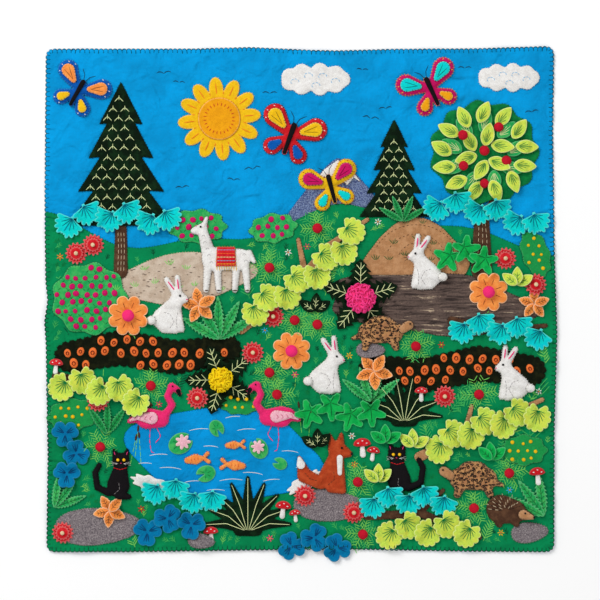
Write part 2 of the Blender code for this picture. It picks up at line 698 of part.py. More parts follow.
# Plants and sky pieces of plain felt
FELT_SHAPES = (
    Piece("sun", petals(5.0, 12, 0.36), -9.6, 21.6, 6, 1.0, 1, "sun_yellow"),
    Piece("cloud_middle", cloud(9.0, 3.6), 1.8, 26.3, 0, 1.0, 1, "white_felt"),
    Piece("cloud_right", cloud(8.0, 3.2), 24.8, 26.5, 0, 1.0, 1, "white_felt"),
    Piece("fir_left", fir(17.5, 13.0), -21.3, 17.3, 0, 1.0, 1, "dark_green"),
    Piece("fir_right", fir(12.0, 8.4), 11.2, 15.6, 0, 1.0, 1, "dark_green"),
    Piece("tree_crown", oval(6.3, 6.0, 11, 0.055), 21.9, 17.6, 0, 1.0, 1, "emerald"),
    Piece("hedge_left", HEDGE, -18.0, -6.2, 0, 1.0, 1, "dark_green"),
    Piece("hedge_right", HEDGE, 18.0, -8.2, 2, 1.0, -1, "dark_green"),
    Piece("rose_bush", oval(4.4, 4.2, 9, 0.06), -25.0, 0.2, 0, 1.0, 1, "bush_green"),
    Piece("blades_left", blades(9, 6.4), -6.2, -27.4, 0, 1.0, 1, "dark_green"),
    Piece("blades_right", blades(8, 5.6), 12.4, -14.4, 0, 1.0, 1, "dark_green"),
)
# Padded figures
FIGURES = (
    Piece("butterfly_red", WING_PAIR, -1.2, 19.4, -20, 1.12, 1, "red_felt"),
    Piece("butterfly_magenta", WING_PAIR, 15.6, 25.0, 25, 1.05, 1, "magenta"),
    Piece("butterfly_blue", WING_PAIR, -26.4, 24.8, -30, 1.0, 1, "blue_felt"),
    Piece("butterfly_yellow", WING_PAIR, 3.7, 13.4, 15, 1.0, 1, "sun_yellow"),
    Piece("llama", LLAMA, -8.8, 4.9, 0, 0.95, 1, "white_felt"),
    Piece("rabbit_left", RABBIT, -15.4, -1.2, 0, 0.90, 1, "white_felt"),
    Piece("rabbit_right", RABBIT, 14.8, 3.9, 0, 0.86, -1, "white_felt"),
    Piece("rabbit_middle", RABBIT, 3.2, -8.4, 0, 0.90, 1, "white_felt"),
    Piece("rabbit_edge", RABBIT, 25.2, -9.3, 0, 0.86, -1, "white_felt"),
    Piece("tortoise_upper", TORTOISE, 9.6, -3.8, 0, 0.95, 1, "leopard_print"),
    Piece("tortoise_lower", TORTOISE, 20.6, -21.2, 0, 1.0, -1, "leopard_print"),
    Piece("cat_left", CAT, -21.6, -21.0, 0, 0.90, 1, "black_felt"),
    Piece("cat_right", CAT, 11.8, -20.4, 0, 0.92, -1, "black_felt"),
    Piece("fox", FOX, 3.8, -19.6, 0, 1.02, 1, "rust_felt"),
    Piece("flamingo_left", FLAMINGO, -17.4, -14.6, 0, 0.98, 1, "pink_wool"),
    Piece("flamingo_right", FLAMINGO, -3.0, -14.4, 0, 0.98, -1, "pink_wool"),
    Piece("hedgehog", HEDGEHOG, 24.6, -24.9, 0, 0.95, 1, "brown_felt"),
)
FLOWERS = (
    Piece("flower_left", petals(2.5, 8, 0.28), -20.4, -1.8, 10, 1.0, 1, "orange"),
    Piece("flower_right", petals(2.4, 8, 0.28), 22.4, 1.0, 0, 1.0, 1, "orange"),
    Piece("flower_middle", petals(2.4, 8, 0.28), -1.0, -6.0, 14, 1.0, 1, "orange"),
)
Garland = namedtuple("Garland", "name leaf x y to_x to_y size bow colour")
GARLANDS = (
    Garland("leaves_turquoise_1", "fan", -27.6, 9.4, -15.6, 9.2, 0.90, 0.8, "turquoise"),
    Garland("leaves_turquoise_2", "fan", 16.2, 11.4, 28.0, 8.8, 0.90, 0.6, "turquoise"),
    Garland("leaves_turquoise_3", "fan", 19.2, -3.2, 28.2, -4.0, 0.90, 0.3, "turquoise"),
    Garland("leaves_turquoise_4", "fan", -17.2, -22.4, -10.6, -24.2, 0.88, 0.2, "turquoise"),
    Garland("leaves_turquoise_5", "fan", 8.6, -24.0, 17.0, -23.8, 0.88, 0.3, "turquoise"),
    Garland("leaves_lime_1", "lobed", -28.2, -9.8, -19.4, -11.6, 0.88, 0.4, "lime"),
    Garland("leaves_lime_2", "lobed", -5.6, -1.0, 6.4, 7.8, 0.88, -0.8, "lime"),
    Garland("leaves_lime_3", "lobed", 16.4, -17.2, 28.0, -13.4, 0.90, 0.5, "lime"),
    Garland("leaves_lime_4", "lobed", 10.6, -27.4, 19.8, -27.2, 0.88, 0.2, "lime"),
    Garland("leaves_teal_1", "clover", -18.2, -27.0, -13.0, -26.2, 0.95, 0.2, "teal"),
    Garland("leaves_teal_2", "clover", -1.0, -28.7, 4.4, -28.9, 0.95, 0.1, "teal"),
    Garland("leaves_teal_3", "clover", -27.4, -15.8, -27.2, -20.6, 0.90, 0.2, "teal"),
    Garland("leaves_emerald_1", "star", 1.2, -13.0, 8.4, -13.8, 0.92, 0.2, "emerald"),
    Garland("leaves_emerald_2", "star", 17.6, 5.6, 21.8, 5.2, 0.92, 0.1, "emerald"),
)
Pompom = namedtuple("Pompom", "name x y radius height colour")
POMPOMS = (
    Pompom("pompom_yellow", -9.4, -9.4, 1.5, 0.75, "sun_yellow"),
    Pompom("pompom_pink", 7.2, 0.3, 1.75, 0.8, "pink_wool"),
)


def laid(row):
    """A table row's outlines, set in their place."""
    return [
        placed(outline, row.x, row.y, row.turn, row.size, row.flip)
        for outline in outlines_of(row.shape)
    ]


for old in list(bpy.data.objects):
    bpy.data.objects.remove(old, do_unlink=True)
PARTS = bpy.data.collections.new("arpillera_wall_cloth")
bpy.context.scene.collection.children.link(PARTS)
HEAP = Heap()

cloth_edge = cloth_outline()
ground_cloth(cloth_edge)
sewn_piece(MOUNTAIN.name, laid(MOUNTAIN), MOUNTAIN.colour, PATCH_THICKNESS, PATCH_STEP)
land_cloth(cloth_edge)
for row in PATCHES:
    sewn_piece(row.name, laid(row), row.colour, PATCH_THICKNESS, PATCH_STEP)
for row in FELT_SHAPES:
    sewn_piece(row.name, laid(row), row.colour, FELT_THICKNESS, PATCH_STEP)
for row in FIGURES:
    sewn_piece(row.name, laid(row), row.colour, FELT_THICKNESS, PADDED_STEP, FIGURE_PUFF)
for row in GARLANDS:
    sewn_piece(row.name, leaf_run(row), row.colour, LEAF_THICKNESS, FELT_STEP)
for row in FLOWERS:
    sewn_piece(row.name, laid(row), row.colour, FELT_THICKNESS, PADDED_STEP, FLOWER_PUFF)
for row in POMPOMS:
    pompom(row)
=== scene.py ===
import math
from collections import namedtuple

import bmesh
import bpy
import numpy as np
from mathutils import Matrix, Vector
from mathutils.geometry import delaunay_2d_cdt
from mathutils.kdtree import KDTree


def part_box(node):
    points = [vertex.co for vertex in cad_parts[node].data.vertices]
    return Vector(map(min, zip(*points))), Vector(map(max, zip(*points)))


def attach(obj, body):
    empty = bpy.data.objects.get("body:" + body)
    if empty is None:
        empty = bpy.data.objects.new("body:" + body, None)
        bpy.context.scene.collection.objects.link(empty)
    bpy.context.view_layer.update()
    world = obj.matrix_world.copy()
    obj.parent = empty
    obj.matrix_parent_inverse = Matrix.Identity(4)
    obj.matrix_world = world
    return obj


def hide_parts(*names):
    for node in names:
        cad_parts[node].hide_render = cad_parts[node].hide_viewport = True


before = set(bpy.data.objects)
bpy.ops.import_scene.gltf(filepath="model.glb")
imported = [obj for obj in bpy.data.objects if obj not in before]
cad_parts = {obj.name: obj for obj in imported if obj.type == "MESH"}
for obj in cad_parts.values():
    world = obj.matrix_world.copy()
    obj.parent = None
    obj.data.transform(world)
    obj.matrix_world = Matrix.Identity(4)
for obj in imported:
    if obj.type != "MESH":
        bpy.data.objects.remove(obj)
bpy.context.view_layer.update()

CM = 0.01
MM = 0.001
CHANCE = np.random.RandomState(11)

# Camera straight above the cloth, as wide as the photograph's frame
FRAME_WIDTH = 0.7143
CAMERA_HEIGHT = 3.0
SENSOR_WIDTH = 36.0
FLOOR_SIZE = 14.0
FLOOR_DROP = 0.6 * MM
FLOOR_COLOUR = (0.96, 0.96, 0.96)

# Height grid of the topmost cloth, and how closely a laid piece follows it
GRID_STEP = 1 * MM
GRID_REACH = 330
GAP = 0.12 * MM

# Cloth thicknesses
GROUND_THICK = 1.2 * MM
COTTON_THICK = 0.7 * MM
FELT_THICK = 1.5 * MM
LEAF_THICK = 1.3 * MM

# Thread
THREAD_RADIUS = 0.42 * MM
THREAD_SIDES = 5
THREAD_STEP = 3.0 * MM
EDGE_PITCH = 3.4 * MM
BLANKET_PITCH = 5.5 * MM
BLANKET_REACH = 4.4 * MM
NOTCH_DEPTH = 1.8 * MM
EDGE_STEPS = 6

Limb = namedtuple("Limb", "x y r to_x to_y to_r")


# Camera, floor and light
def studio():
    """Camera straight above, a plain pale floor and soft light from the upper left."""
    lens = bpy.data.cameras.new("camera")
    lens.sensor_width = SENSOR_WIDTH
    lens.lens = SENSOR_WIDTH * CAMERA_HEIGHT / FRAME_WIDTH
    lens.clip_end = 50
    camera = bpy.data.objects.new("camera", lens)
    camera.location = (0.0, 0.0005, CAMERA_HEIGHT)
    bpy.context.scene.collection.objects.link(camera)
    bpy.context.scene.camera = camera
    bpy.context.scene.view_settings.view_transform = "Standard"

    half = FLOOR_SIZE / 2
    mesh = bpy.data.meshes.new("floor")
    corners = [(-half, -half), (half, -half), (half, half), (-half, half)]
    mesh.from_pydata([(x, y, -FLOOR_DROP) for x, y in corners], [], [(0, 1, 2, 3)])
    floor = bpy.data.objects.new("floor", mesh)
    bpy.context.scene.collection.objects.link(floor)
    paper = bpy.data.materials.new("pale_floor")
    paper.use_nodes = True
    surface = paper.node_tree.nodes["Principled BSDF"]
    surface.inputs["Base Color"].default_value = (*FLOOR_COLOUR, 1)
    surface.inputs["Roughness"].default_value = 0.85
    mesh.materials.append(paper)

    for name, place, size, power in (
        ("key_light", (-1.5, 1.7, 2.1), 1.5, 62.0),
        ("fill_light", (1.9, -1.5, 2.4), 2.4, 21.0),
    ):
        lamp = bpy.data.lights.new(name, "AREA")
        lamp.size = size
        lamp.energy = power
        light = bpy.data.objects.new(name, lamp)
        light.location = place
        light.rotation_euler = Vector(place).to_track_quat("Z", "Y").to_euler()
        bpy.context.scene.collection.objects.link(light)
    world = bpy.data.worlds.new("studio")
    world.use_nodes = True
    sky = world.node_tree.nodes.get("Background")
    if sky is None:
        sky = world.node_tree.nodes.new("ShaderNodeBackground")
        out = world.node_tree.nodes.new("ShaderNodeOutputWorld")
        world.node_tree.links.new(sky.outputs["Background"], out.inputs["Surface"])
    sky.inputs["Color"].default_value = (1.0, 1.0, 1.0, 1)
    sky.inputs["Strength"].default_value = 0.55
    bpy.context.scene.world = world


# Outlines, in cm
def oval(half_width, half_height, waves=0, depth=0.0, phase=0.0, count=120):
    """Round outline with so many waves of that depth."""
    turn = np.arange(count) * math.tau / count
    radius = 1 + depth * np.cos(waves * turn + phase)
    return np.stack([half_width * radius * np.cos(turn), half_height * radius * np.sin(turn)], 1)


def petals(radius, count, depth, roundness=0.7):
    """Flower outline: round petals that meet in narrow notches."""
    turn = np.arange(360) * math.tau / 360
    reach = radius * (1 - depth + depth * np.abs(np.cos(count * turn / 2)) ** roundness)
    return np.stack([reach * np.cos(turn), reach * np.sin(turn)], 1)


def toothed_leaf(length, width, teeth, depth, round_teeth=False, belly=0.85):
    """Pointed leaf from its stalk up, with teeth or scallops along both sides."""
    along = np.linspace(0, 1, 20 * teeth + 1)
    beat = (along * teeth) % 1.0
    tooth = np.abs(np.sin(math.pi * along * teeth)) ** 0.6 if round_teeth else 1 - beat
    half = width / 2 * np.sin(math.pi * along**belly) ** 0.75 * (1 - depth + depth * tooth)
    side = np.stack([half, length * along], 1)
    return np.concatenate([side, side[-2:0:-1] * [-1, 1]])


def limb_outline(limb, sides=36):
    """Outline round one tapered limb."""
    start, end = np.array([limb.x, limb.y]), np.array([limb.to_x, limb.to_y])
    points = []
    for side in range(sides):
        turn = math.tau * side / sides
        way = np.array([math.cos(turn), math.sin(turn)])
        if start @ way + limb.r > end @ way + limb.to_r:
            points.append(start + way * limb.r)
        else:
            points.append(end + way * limb.to_r)
    return np.array(points)


def ring_area(ring):
    """Signed area inside a closed outline."""
    after = np.roll(ring, -1, axis=0)
    return 0.5 * float(np.sum(ring[:, 0] * after[:, 1] - after[:, 0] * ring[:, 1]))


def chained(edges, points):
    """The longest closed outline among directed edges."""
    following = dict(edges)
    found = []
    while following:
        start = next(iter(following))
        loop, here = [start], following.pop(start)
        while here != start and here in following:
            loop.append(here)
            here = following.pop(here)
        ring = points[loop]
        found.append((abs(ring_area(ring)), ring))
    return max(found, key=lambda item: item[0])[1]


def joined(outlines):
    """The outer outline of outlines that overlap."""
    points, loops = [], []
    for outline in outlines:
        loops.append(list(range(len(points), len(points) + len(outline))))
        points += [Vector(point) for point in outline]
    verts, _, faces, _, _, _ = delaunay_2d_cdt(points, [], loops, 1, 1e-6)
    uses = {(a, b) for face in faces for a, b in zip(face, face[1:] + face[:1])}
    edges = [(a, b) for a, b in uses if (b, a) not in uses]
    return chained(sorted(edges), np.array([vert[:] for vert in verts]))


def softened(ring, softness=0.8 * MM, step=1 * MM):
    """An outline in even steps, its corners rounded as scissors round them."""
    if ring_area(ring) < 0:
        ring = ring[::-1]
    closed = np.concatenate([ring, ring[:1]])
    length = np.concatenate([[0], np.cumsum(np.linalg.norm(np.diff(closed, axis=0), axis=1))])
    count = max(20, int(length[-1] / step))
    fine = 4 * count
    at = np.arange(fine) * length[-1] / fine
    even = np.stack([np.interp(at, length, closed[:, axis]) for axis in (0, 1)], 1)
    waves = np.fft.fftfreq(fine, d=length[-1] / fine)
    fade = np.exp(-2 * (math.pi * waves * softness) ** 2)
    smooth = np.stack([np.fft.ifft(np.fft.fft(even[:, axis]) * fade).real for axis in (0, 1)], 1)
    return smooth[::4]


def placed(outline, x, y, turn=0.0, size=1.0, flip=1):
    """Points in cm, turned, sized and set at x, y, in metres."""
    outline = np.asarray(outline, float)
    way = math.radians(turn)
    across, up = outline[:, 0] * size * flip, outline[:, 1] * size
    place_x = x + math.cos(way) * across - math.sin(way) * up
    place_y = y + math.sin(way) * across + math.cos(way) * up
    return np.stack([place_x, place_y], 1) * CM


def node_faces(node):
    """A merged copy of a node's mesh: its points, faces and the faces' upward share."""
    copy = bmesh.new()
    copy.from_mesh(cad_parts[node].data)
    bmesh.ops.remove_doubles(copy, verts=copy.verts, dist=1e-6)
    copy.verts.index_update()
    points = np.array([vert.co[:] for vert in copy.verts])
    faces = [[vert.index for vert in face.verts] for face in copy.faces]
    copy.normal_update()
    upward = np.array([face.normal.z for face in copy.faces])
    copy.free()
    return points, faces, upward


def node_outline(node, softness=1.1 * MM):
    """The outline that a node's piece is cut to."""
    points, faces, upward = node_faces(node)
    uses = set()
    for face, up in zip(faces, upward):
        if up > 0.05:
            uses |= {(a, b) for a, b in zip(face, face[1:] + face[:1])}
    edges = [(a, b) for a, b in uses if (b, a) not in uses]
    return softened(chained(sorted(edges), points[:, :2]), softness)


# Height grid: the topmost cloth at each millimetre
LINE = np.arange(-GRID_REACH, GRID_REACH + 1) * GRID_STEP
GRID_X, GRID_Y = np.meshgrid(LINE, LINE, indexing="ij")
TOP = np.zeros(GRID_X.shape)


def soft_noise(size, seed, stretch=1.0):
    """Even field of soft bumps of about that size, with a mean of 0 and a spread of 1."""
    white = np.random.RandomState(seed).standard_normal(GRID_X.shape)
    wave = np.fft.fftfreq(len(LINE), d=GRID_STEP)
    wave_x, wave_y = np.meshgrid(wave * stretch, wave, indexing="ij")
    fade = np.exp(-((wave_x**2 + wave_y**2) * (0.9 * size) ** 2))
    field = np.fft.ifft2(np.fft.fft2(white) * fade).real
    return (field - field.mean()) / field.std()


def window(ring, margin=9):
    """The part of the grid round an outline."""
    low = np.floor(ring.min(axis=0) / GRID_STEP).astype(int) + GRID_REACH - margin
    high = np.ceil(ring.max(axis=0) / GRID_STEP).astype(int) + GRID_REACH + margin + 1
    low, high = np.maximum(low, 0), np.minimum(high, len(LINE))
    return slice(low[0], high[0]), slice(low[1], high[1])


def drape(field, steps):
    """A cloth that lies on a field of heights: it clears every point and rounds every step."""
    wide = np.pad(field, steps, mode="edge")
    for _ in range(steps):
        for axis in (0, 1):
            wide = np.maximum(wide, np.maximum(np.roll(wide, 1, axis), np.roll(wide, -1, axis)))
    for _ in range(steps):
        for axis in (0, 1):
            wide = (2 * wide + np.roll(wide, 1, axis) + np.roll(wide, -1, axis)) / 4
    return wide[steps:-steps, steps:-steps]


def sampled(field, part, points):
    """Heights of a part of the grid at points between its steps."""
    shape = field.shape
    at = points / GRID_STEP + GRID_REACH - [part[0].start, part[1].start]
    at = np.clip(at, 0, np.array(shape) - 1.001)
    low = np.floor(at).astype(int)
    x, y = (at - low).T
    i, j = low.T
    near = field[i, j] * (1 - x) + field[i + 1, j] * x
    far = field[i, j + 1] * (1 - x) + field[i + 1, j + 1] * x
    return near * (1 - y) + far * y


WHOLE = (slice(0, len(LINE)), slice(0, len(LINE)))


def top_at(points):
    """Height of the topmost cloth at each point."""
    return sampled(TOP, WHOLE, np.asarray(points, float))


def inside_cells(ring, part):
    """Which cells of a part of the grid lie inside an outline."""
    a, b = ring, np.roll(ring, -1, axis=0)
    mask = np.zeros((part[0].stop - part[0].start, part[1].stop - part[1].start), bool)
    lines = LINE[part[1]]
    for row, x in enumerate(LINE[part[0]]):
        crossed = (a[:, 0] > x) != (b[:, 0] > x)
        p, q = a[crossed], b[crossed]
        if len(p):
            y = np.sort(p[:, 1] + (x - p[:, 0]) / (q[:, 0] - p[:, 0]) * (q[:, 1] - p[:, 1]))
            mask[row] = np.searchsorted(y, lines) % 2 == 1
    return mask


def edge_facts(points, ring):
    """Each point's distance in from an outline, and how far along it the nearest edge is."""
    count = len(ring)
    tree = KDTree(count)
    for index, (x, y) in enumerate(ring):
        tree.insert((x, y, 0.0), index)
    tree.balance()
    near = np.array([tree.find((x, y, 0.0))[1] for x, y in points], int)
    along = np.roll(ring, -1, axis=0) - ring
    span = np.maximum((along**2).sum(1), 1e-18)
    run = np.concatenate([[0], np.cumsum(np.sqrt(span))])[:-1]
    facing = np.stack([along[:, 1], -along[:, 0]], 1) / np.sqrt(span)[:, None]
    best = np.full(len(points), np.inf)
    place, side = np.zeros(len(points)), np.zeros(len(points))
    for edge in ((near - 1) % count, near):
        rel = points - ring[edge]
        share = np.clip((rel * along[edge]).sum(1) / span[edge], 0, 1)
        off = rel - share[:, None] * along[edge]
        gap = (off**2).sum(1)
        out = facing[edge]
        at_start, at_end = share <= 0, share >= 1
        out = out + np.where(at_start[:, None], facing[(edge - 1) % count], 0)
        out = out + np.where(at_end[:, None], facing[(edge + 1) % count], 0)
        closer = gap < best
        best = np.where(closer, gap, best)
        place = np.where(closer, run[edge] + share * np.sqrt(span[edge]), place)
        side = np.where(closer, (off * out).sum(1), side)
    return np.where(side <= 0, np.sqrt(best), -np.sqrt(best)), place


def lattice(ring, step, clearance):
    """Even triangular lattice of points inside an outline."""
    low, high = ring.min(axis=0), ring.max(axis=0)
    rows = np.arange(int((high[1] - low[1]) / (step * math.sqrt(0.75))) + 2)
    columns = np.arange(int((high[0] - low[0]) / step) + 2)
    column, row = np.meshgrid(columns, rows)
    x = low[0] + (column + 0.5 * (row % 2)) * step
    y = low[1] + row * step * math.sqrt(0.75)
    points = np.stack([x.ravel(), y.ravel()], 1)
    if len(points) > 4000:
        part = window(ring, 2)
        mask = inside_cells(ring, part).astype(float)
        points = points[sampled(mask, part, points) > 0]
    away, _ = edge_facts(points, ring)
    return points[away > clearance]


def normals_of(ring):
    """Outward direction at each point of an outline that runs anticlockwise."""
    way = np.roll(ring, -1, axis=0) - np.roll(ring, 1, axis=0)
    way = way / np.linalg.norm(way, axis=1)[:, None]
    return np.stack([way[:, 1], -way[:, 0]], 1)


# Materials
def light_value(value):
    """A colour part from 0 to 255 as the light value that Blender uses."""
    share = value / 255
    return share / 12.92 if share <= 0.04045 else ((share + 0.055) / 1.055) ** 2.4


def paint(colour, shade=1.0):
    """A colour from 0 to 255 as a shader colour, darkened or lightened."""
    return (*[min(1.0, light_value(part) * shade) for part in colour], 1.0)


def blend_of(colour, other, share):
    """A colour part way to another."""
    return tuple(a + (b - a) * share for a, b in zip(colour, other))


def add_node(tree, kind, inputs=None, **settings):
    """A shader or geometry node with its settings and inputs, which are values or sockets."""
    made = tree.nodes.new(kind)
    for key, value in settings.items():
        setattr(made, key, value)
    for key, value in (inputs or {}).items():
        socket = made.inputs[key]
        if isinstance(value, bpy.types.NodeSocket):
            tree.links.new(value, socket)
        else:
            socket.default_value = value
    return made


class Cloth:
    """A material's node tree, with the mixes and marks that every cloth here needs."""

    def __init__(self, name):
        self.material = bpy.data.materials.new(name)
        self.material.use_nodes = True
        self.tree = self.material.node_tree
        self.surface = self.tree.nodes["Principled BSDF"]
        self.place = add_node(self.tree, "ShaderNodeTexCoord").outputs["Object"]

    def stretched(self, x, y, turn=0.0):
        """Object coordinates, squeezed or stretched along each axis."""
        inputs = {"Vector": self.place, "Scale": (x, y, 1.0), "Rotation": (0, 0, math.radians(turn))}
        return add_node(self.tree, "ShaderNodeMapping", inputs).outputs["Vector"]

    def noise(self, size, detail=3.0, place=None, roughness=0.6, distortion=0.0):
        """Soft mottling whose patches are about that size."""
        inputs = {
            "Vector": place or self.place,
            "Scale": 1 / size,
            "Detail": detail,
            "Roughness": roughness,
            "Distortion": distortion,
        }
        return add_node(self.tree, "ShaderNodeTexNoise", inputs).outputs["Fac"]

    def spots(self, size, place=None, feature="F1", randomness=1.0):
        """Distance from scattered centres about that far apart."""
        inputs = {"Vector": place or self.place, "Scale": 1 / size, "Randomness": randomness}
        made = add_node(self.tree, "ShaderNodeTexVoronoi", inputs, feature=feature)
        return made.outputs["Distance"]

    def ribs(self, pitch, direction):
        """Straight ribs at that pitch, for one set of a weave's threads."""
        inputs = {"Vector": self.place, "Scale": math.tau / (20 * pitch)}
        made = add_node(
            self.tree, "ShaderNodeTexWave", inputs, wave_type="BANDS", bands_direction=direction
        )
        return made.outputs["Fac"]

    def step(self, value, low, high, start=0.0, end=1.0):
        """A value spread from low..high to start..end, and held beyond."""
        inputs = {"Value": value, "From Min": low, "From Max": high, "To Min": start, "To Max": end}
        made = add_node(self.tree, "ShaderNodeMapRange", inputs, interpolation_type="SMOOTHSTEP")
        return made.outputs["Result"]

    def math(self, operation, a, b):
        """Two values worked out into one."""
        made = add_node(self.tree, "ShaderNodeMath", operation=operation)
        for index, value in enumerate((a, b)):
            if isinstance(value, bpy.types.NodeSocket):
                self.tree.links.new(value, made.inputs[index])
            else:
                made.inputs[index].default_value = value
        return made.outputs["Value"]

    def mix(self, share, first, second):
        """Two colours mixed by a share."""
        made = add_node(self.tree, "ShaderNodeMix", data_type="RGBA", clamp_factor=True)
        for index, value in ((0, share), (6, first), (7, second)):
            if isinstance(value, bpy.types.NodeSocket):
                self.tree.links.new(value, made.inputs[index])
            else:
                made.inputs[index].default_value = value
        return made.outputs[2]

    def mark(self, name):
        """A piece's own attribute."""
        made = add_node(self.tree, "ShaderNodeAttribute", attribute_name=name)
        return made.outputs["Fac"]

    def relief(self, *layers):
        """Bumps of (height, metres) stacked up into one normal."""
        normal = None
        for height, distance in layers:
            inputs = {"Height": height, "Distance": distance, "Strength": 1.0}
            if normal is not None:
                inputs["Normal"] = normal
            normal = add_node(self.tree, "ShaderNodeBump", inputs).outputs["Normal"]
        self.tree.links.new(normal, self.surface.inputs["Normal"])

    def finish(self, colour, roughness, sheen=0.0, tint=(1, 1, 1, 1)):
        """Set the colour, the roughness and the sheen of its fibres."""
        self.tree.links.new(colour, self.surface.inputs["Base Color"])
        if isinstance(roughness, bpy.types.NodeSocket):
            self.tree.links.new(roughness, self.surface.inputs["Roughness"])
        else:
            self.surface.inputs["Roughness"].default_value = roughness
        self.surface.inputs["Specular IOR Level"].default_value = 0.10
        self.surface.inputs["Sheen Weight"].default_value = sheen
        self.surface.inputs["Sheen Roughness"].default_value = 0.55
        self.surface.inputs["Sheen Tint"].default_value = tint
        return self.material


WEAVE_PITCH = 0.5 * MM


def woven_cotton(name, colour):
    """Plain-weave cotton: fine threads over and under, uneven dye and soft crease lines darkened with painted shade.
    """
    cloth = Cloth(name)
    warp, weft = cloth.ribs(WEAVE_PITCH, "X"), cloth.ribs(WEAVE_PITCH, "Y")
    slub_x = cloth.noise(1.1 * MM, 2, cloth.stretched(1.0, 0.08))
    slub_y = cloth.noise(1.1 * MM, 2, cloth.stretched(0.08, 1.0))
    slubs = cloth.math("ADD", slub_x, slub_y)
    dye = cloth.noise(46 * MM, 4)
    rumple = cloth.noise(9 * MM, 3, distortion=0.6)
    wander = cloth.noise(120 * MM, 1, cloth.stretched(0.8, 2.2, 12), 0.45, 0.3)
    crease_and_shade = cloth.math("ABSOLUTE", cloth.math("SUBTRACT", wander, 0.5), 0.0)
    where = cloth.step(cloth.noise(55 * MM, 1), 0.50, 0.66)
    crease_and_shade = cloth.math("MULTIPLY", cloth.step(crease_and_shade, 0.0, 0.035, 1.0, 0.0), where)
    tone = cloth.mix(cloth.step(dye, 0.32, 0.68), paint(colour, 0.87), paint(colour, 1.13))
    tone = cloth.mix(cloth.step(slubs, 0.8, 1.2, 0.0, 0.16), tone, paint(colour, 0.72))
    # Painted shade: the cloth is darkened along the crease lines, which the bump also dents.
    tone = cloth.mix(cloth.math("MULTIPLY", crease_and_shade, 0.5), tone, paint(colour, 0.62))
    weave = cloth.math("MULTIPLY", warp, weft)
    swell = cloth.noise(30 * MM, 2, distortion=0.8)
    cloth.relief((swell, 6 * MM), (rumple, 1.5 * MM), (crease_and_shade, 0.9 * MM), (slubs, 0.1 * MM), (weave, 0.1 * MM))
    return cloth.finish(tone, cloth.step(slubs, 0.8, 1.2, 0.95, 0.86), 0.04, paint(colour, 1.6))


def fuzzy_felt(name, colour, rim=0.45, nap=1.0, worn_colour=None):
    """Felt: matted fibres, soft clumps, worn places and a paler cut edge, a painted highlight where the edge catches
    the light.
    """
    cloth = Cloth(name)
    fibre = cloth.noise(0.75 * MM * nap, 5, roughness=0.75, distortion=1.2)
    clump = cloth.noise(3.6 * MM * nap, 4, distortion=0.5)
    worn = cloth.noise(8 * MM, 4)
    tone = cloth.mix(cloth.step(fibre, 0.32, 0.68), paint(colour, 0.70), paint(colour, 1.24))
    tone = cloth.mix(cloth.step(clump, 0.40, 0.66, 0.0, 0.42), tone, paint(colour, 0.70))
    other = paint(worn_colour) if worn_colour else paint(colour, 1.35)
    tone = cloth.mix(cloth.step(worn, 0.42, 0.66, 0.0, 0.6 if worn_colour else 0.25), tone, other)
    # Painted highlight: the colour is paled towards the cut edge as if it caught the light; rim sets how strong it is.
    pale = paint(blend_of(colour, (255, 252, 235), 0.62 * (max(colour) / 255) ** 1.5))
    edge = cloth.step(cloth.mark("edge"), 0.25, 1.45, rim, 0.0)
    tone = cloth.mix(edge, tone, pale)
    cloth.relief((clump, 0.7 * MM * nap), (fibre, 0.45 * MM * nap))
    return cloth.finish(tone, 0.95, 0.16, paint(colour, 1.8))


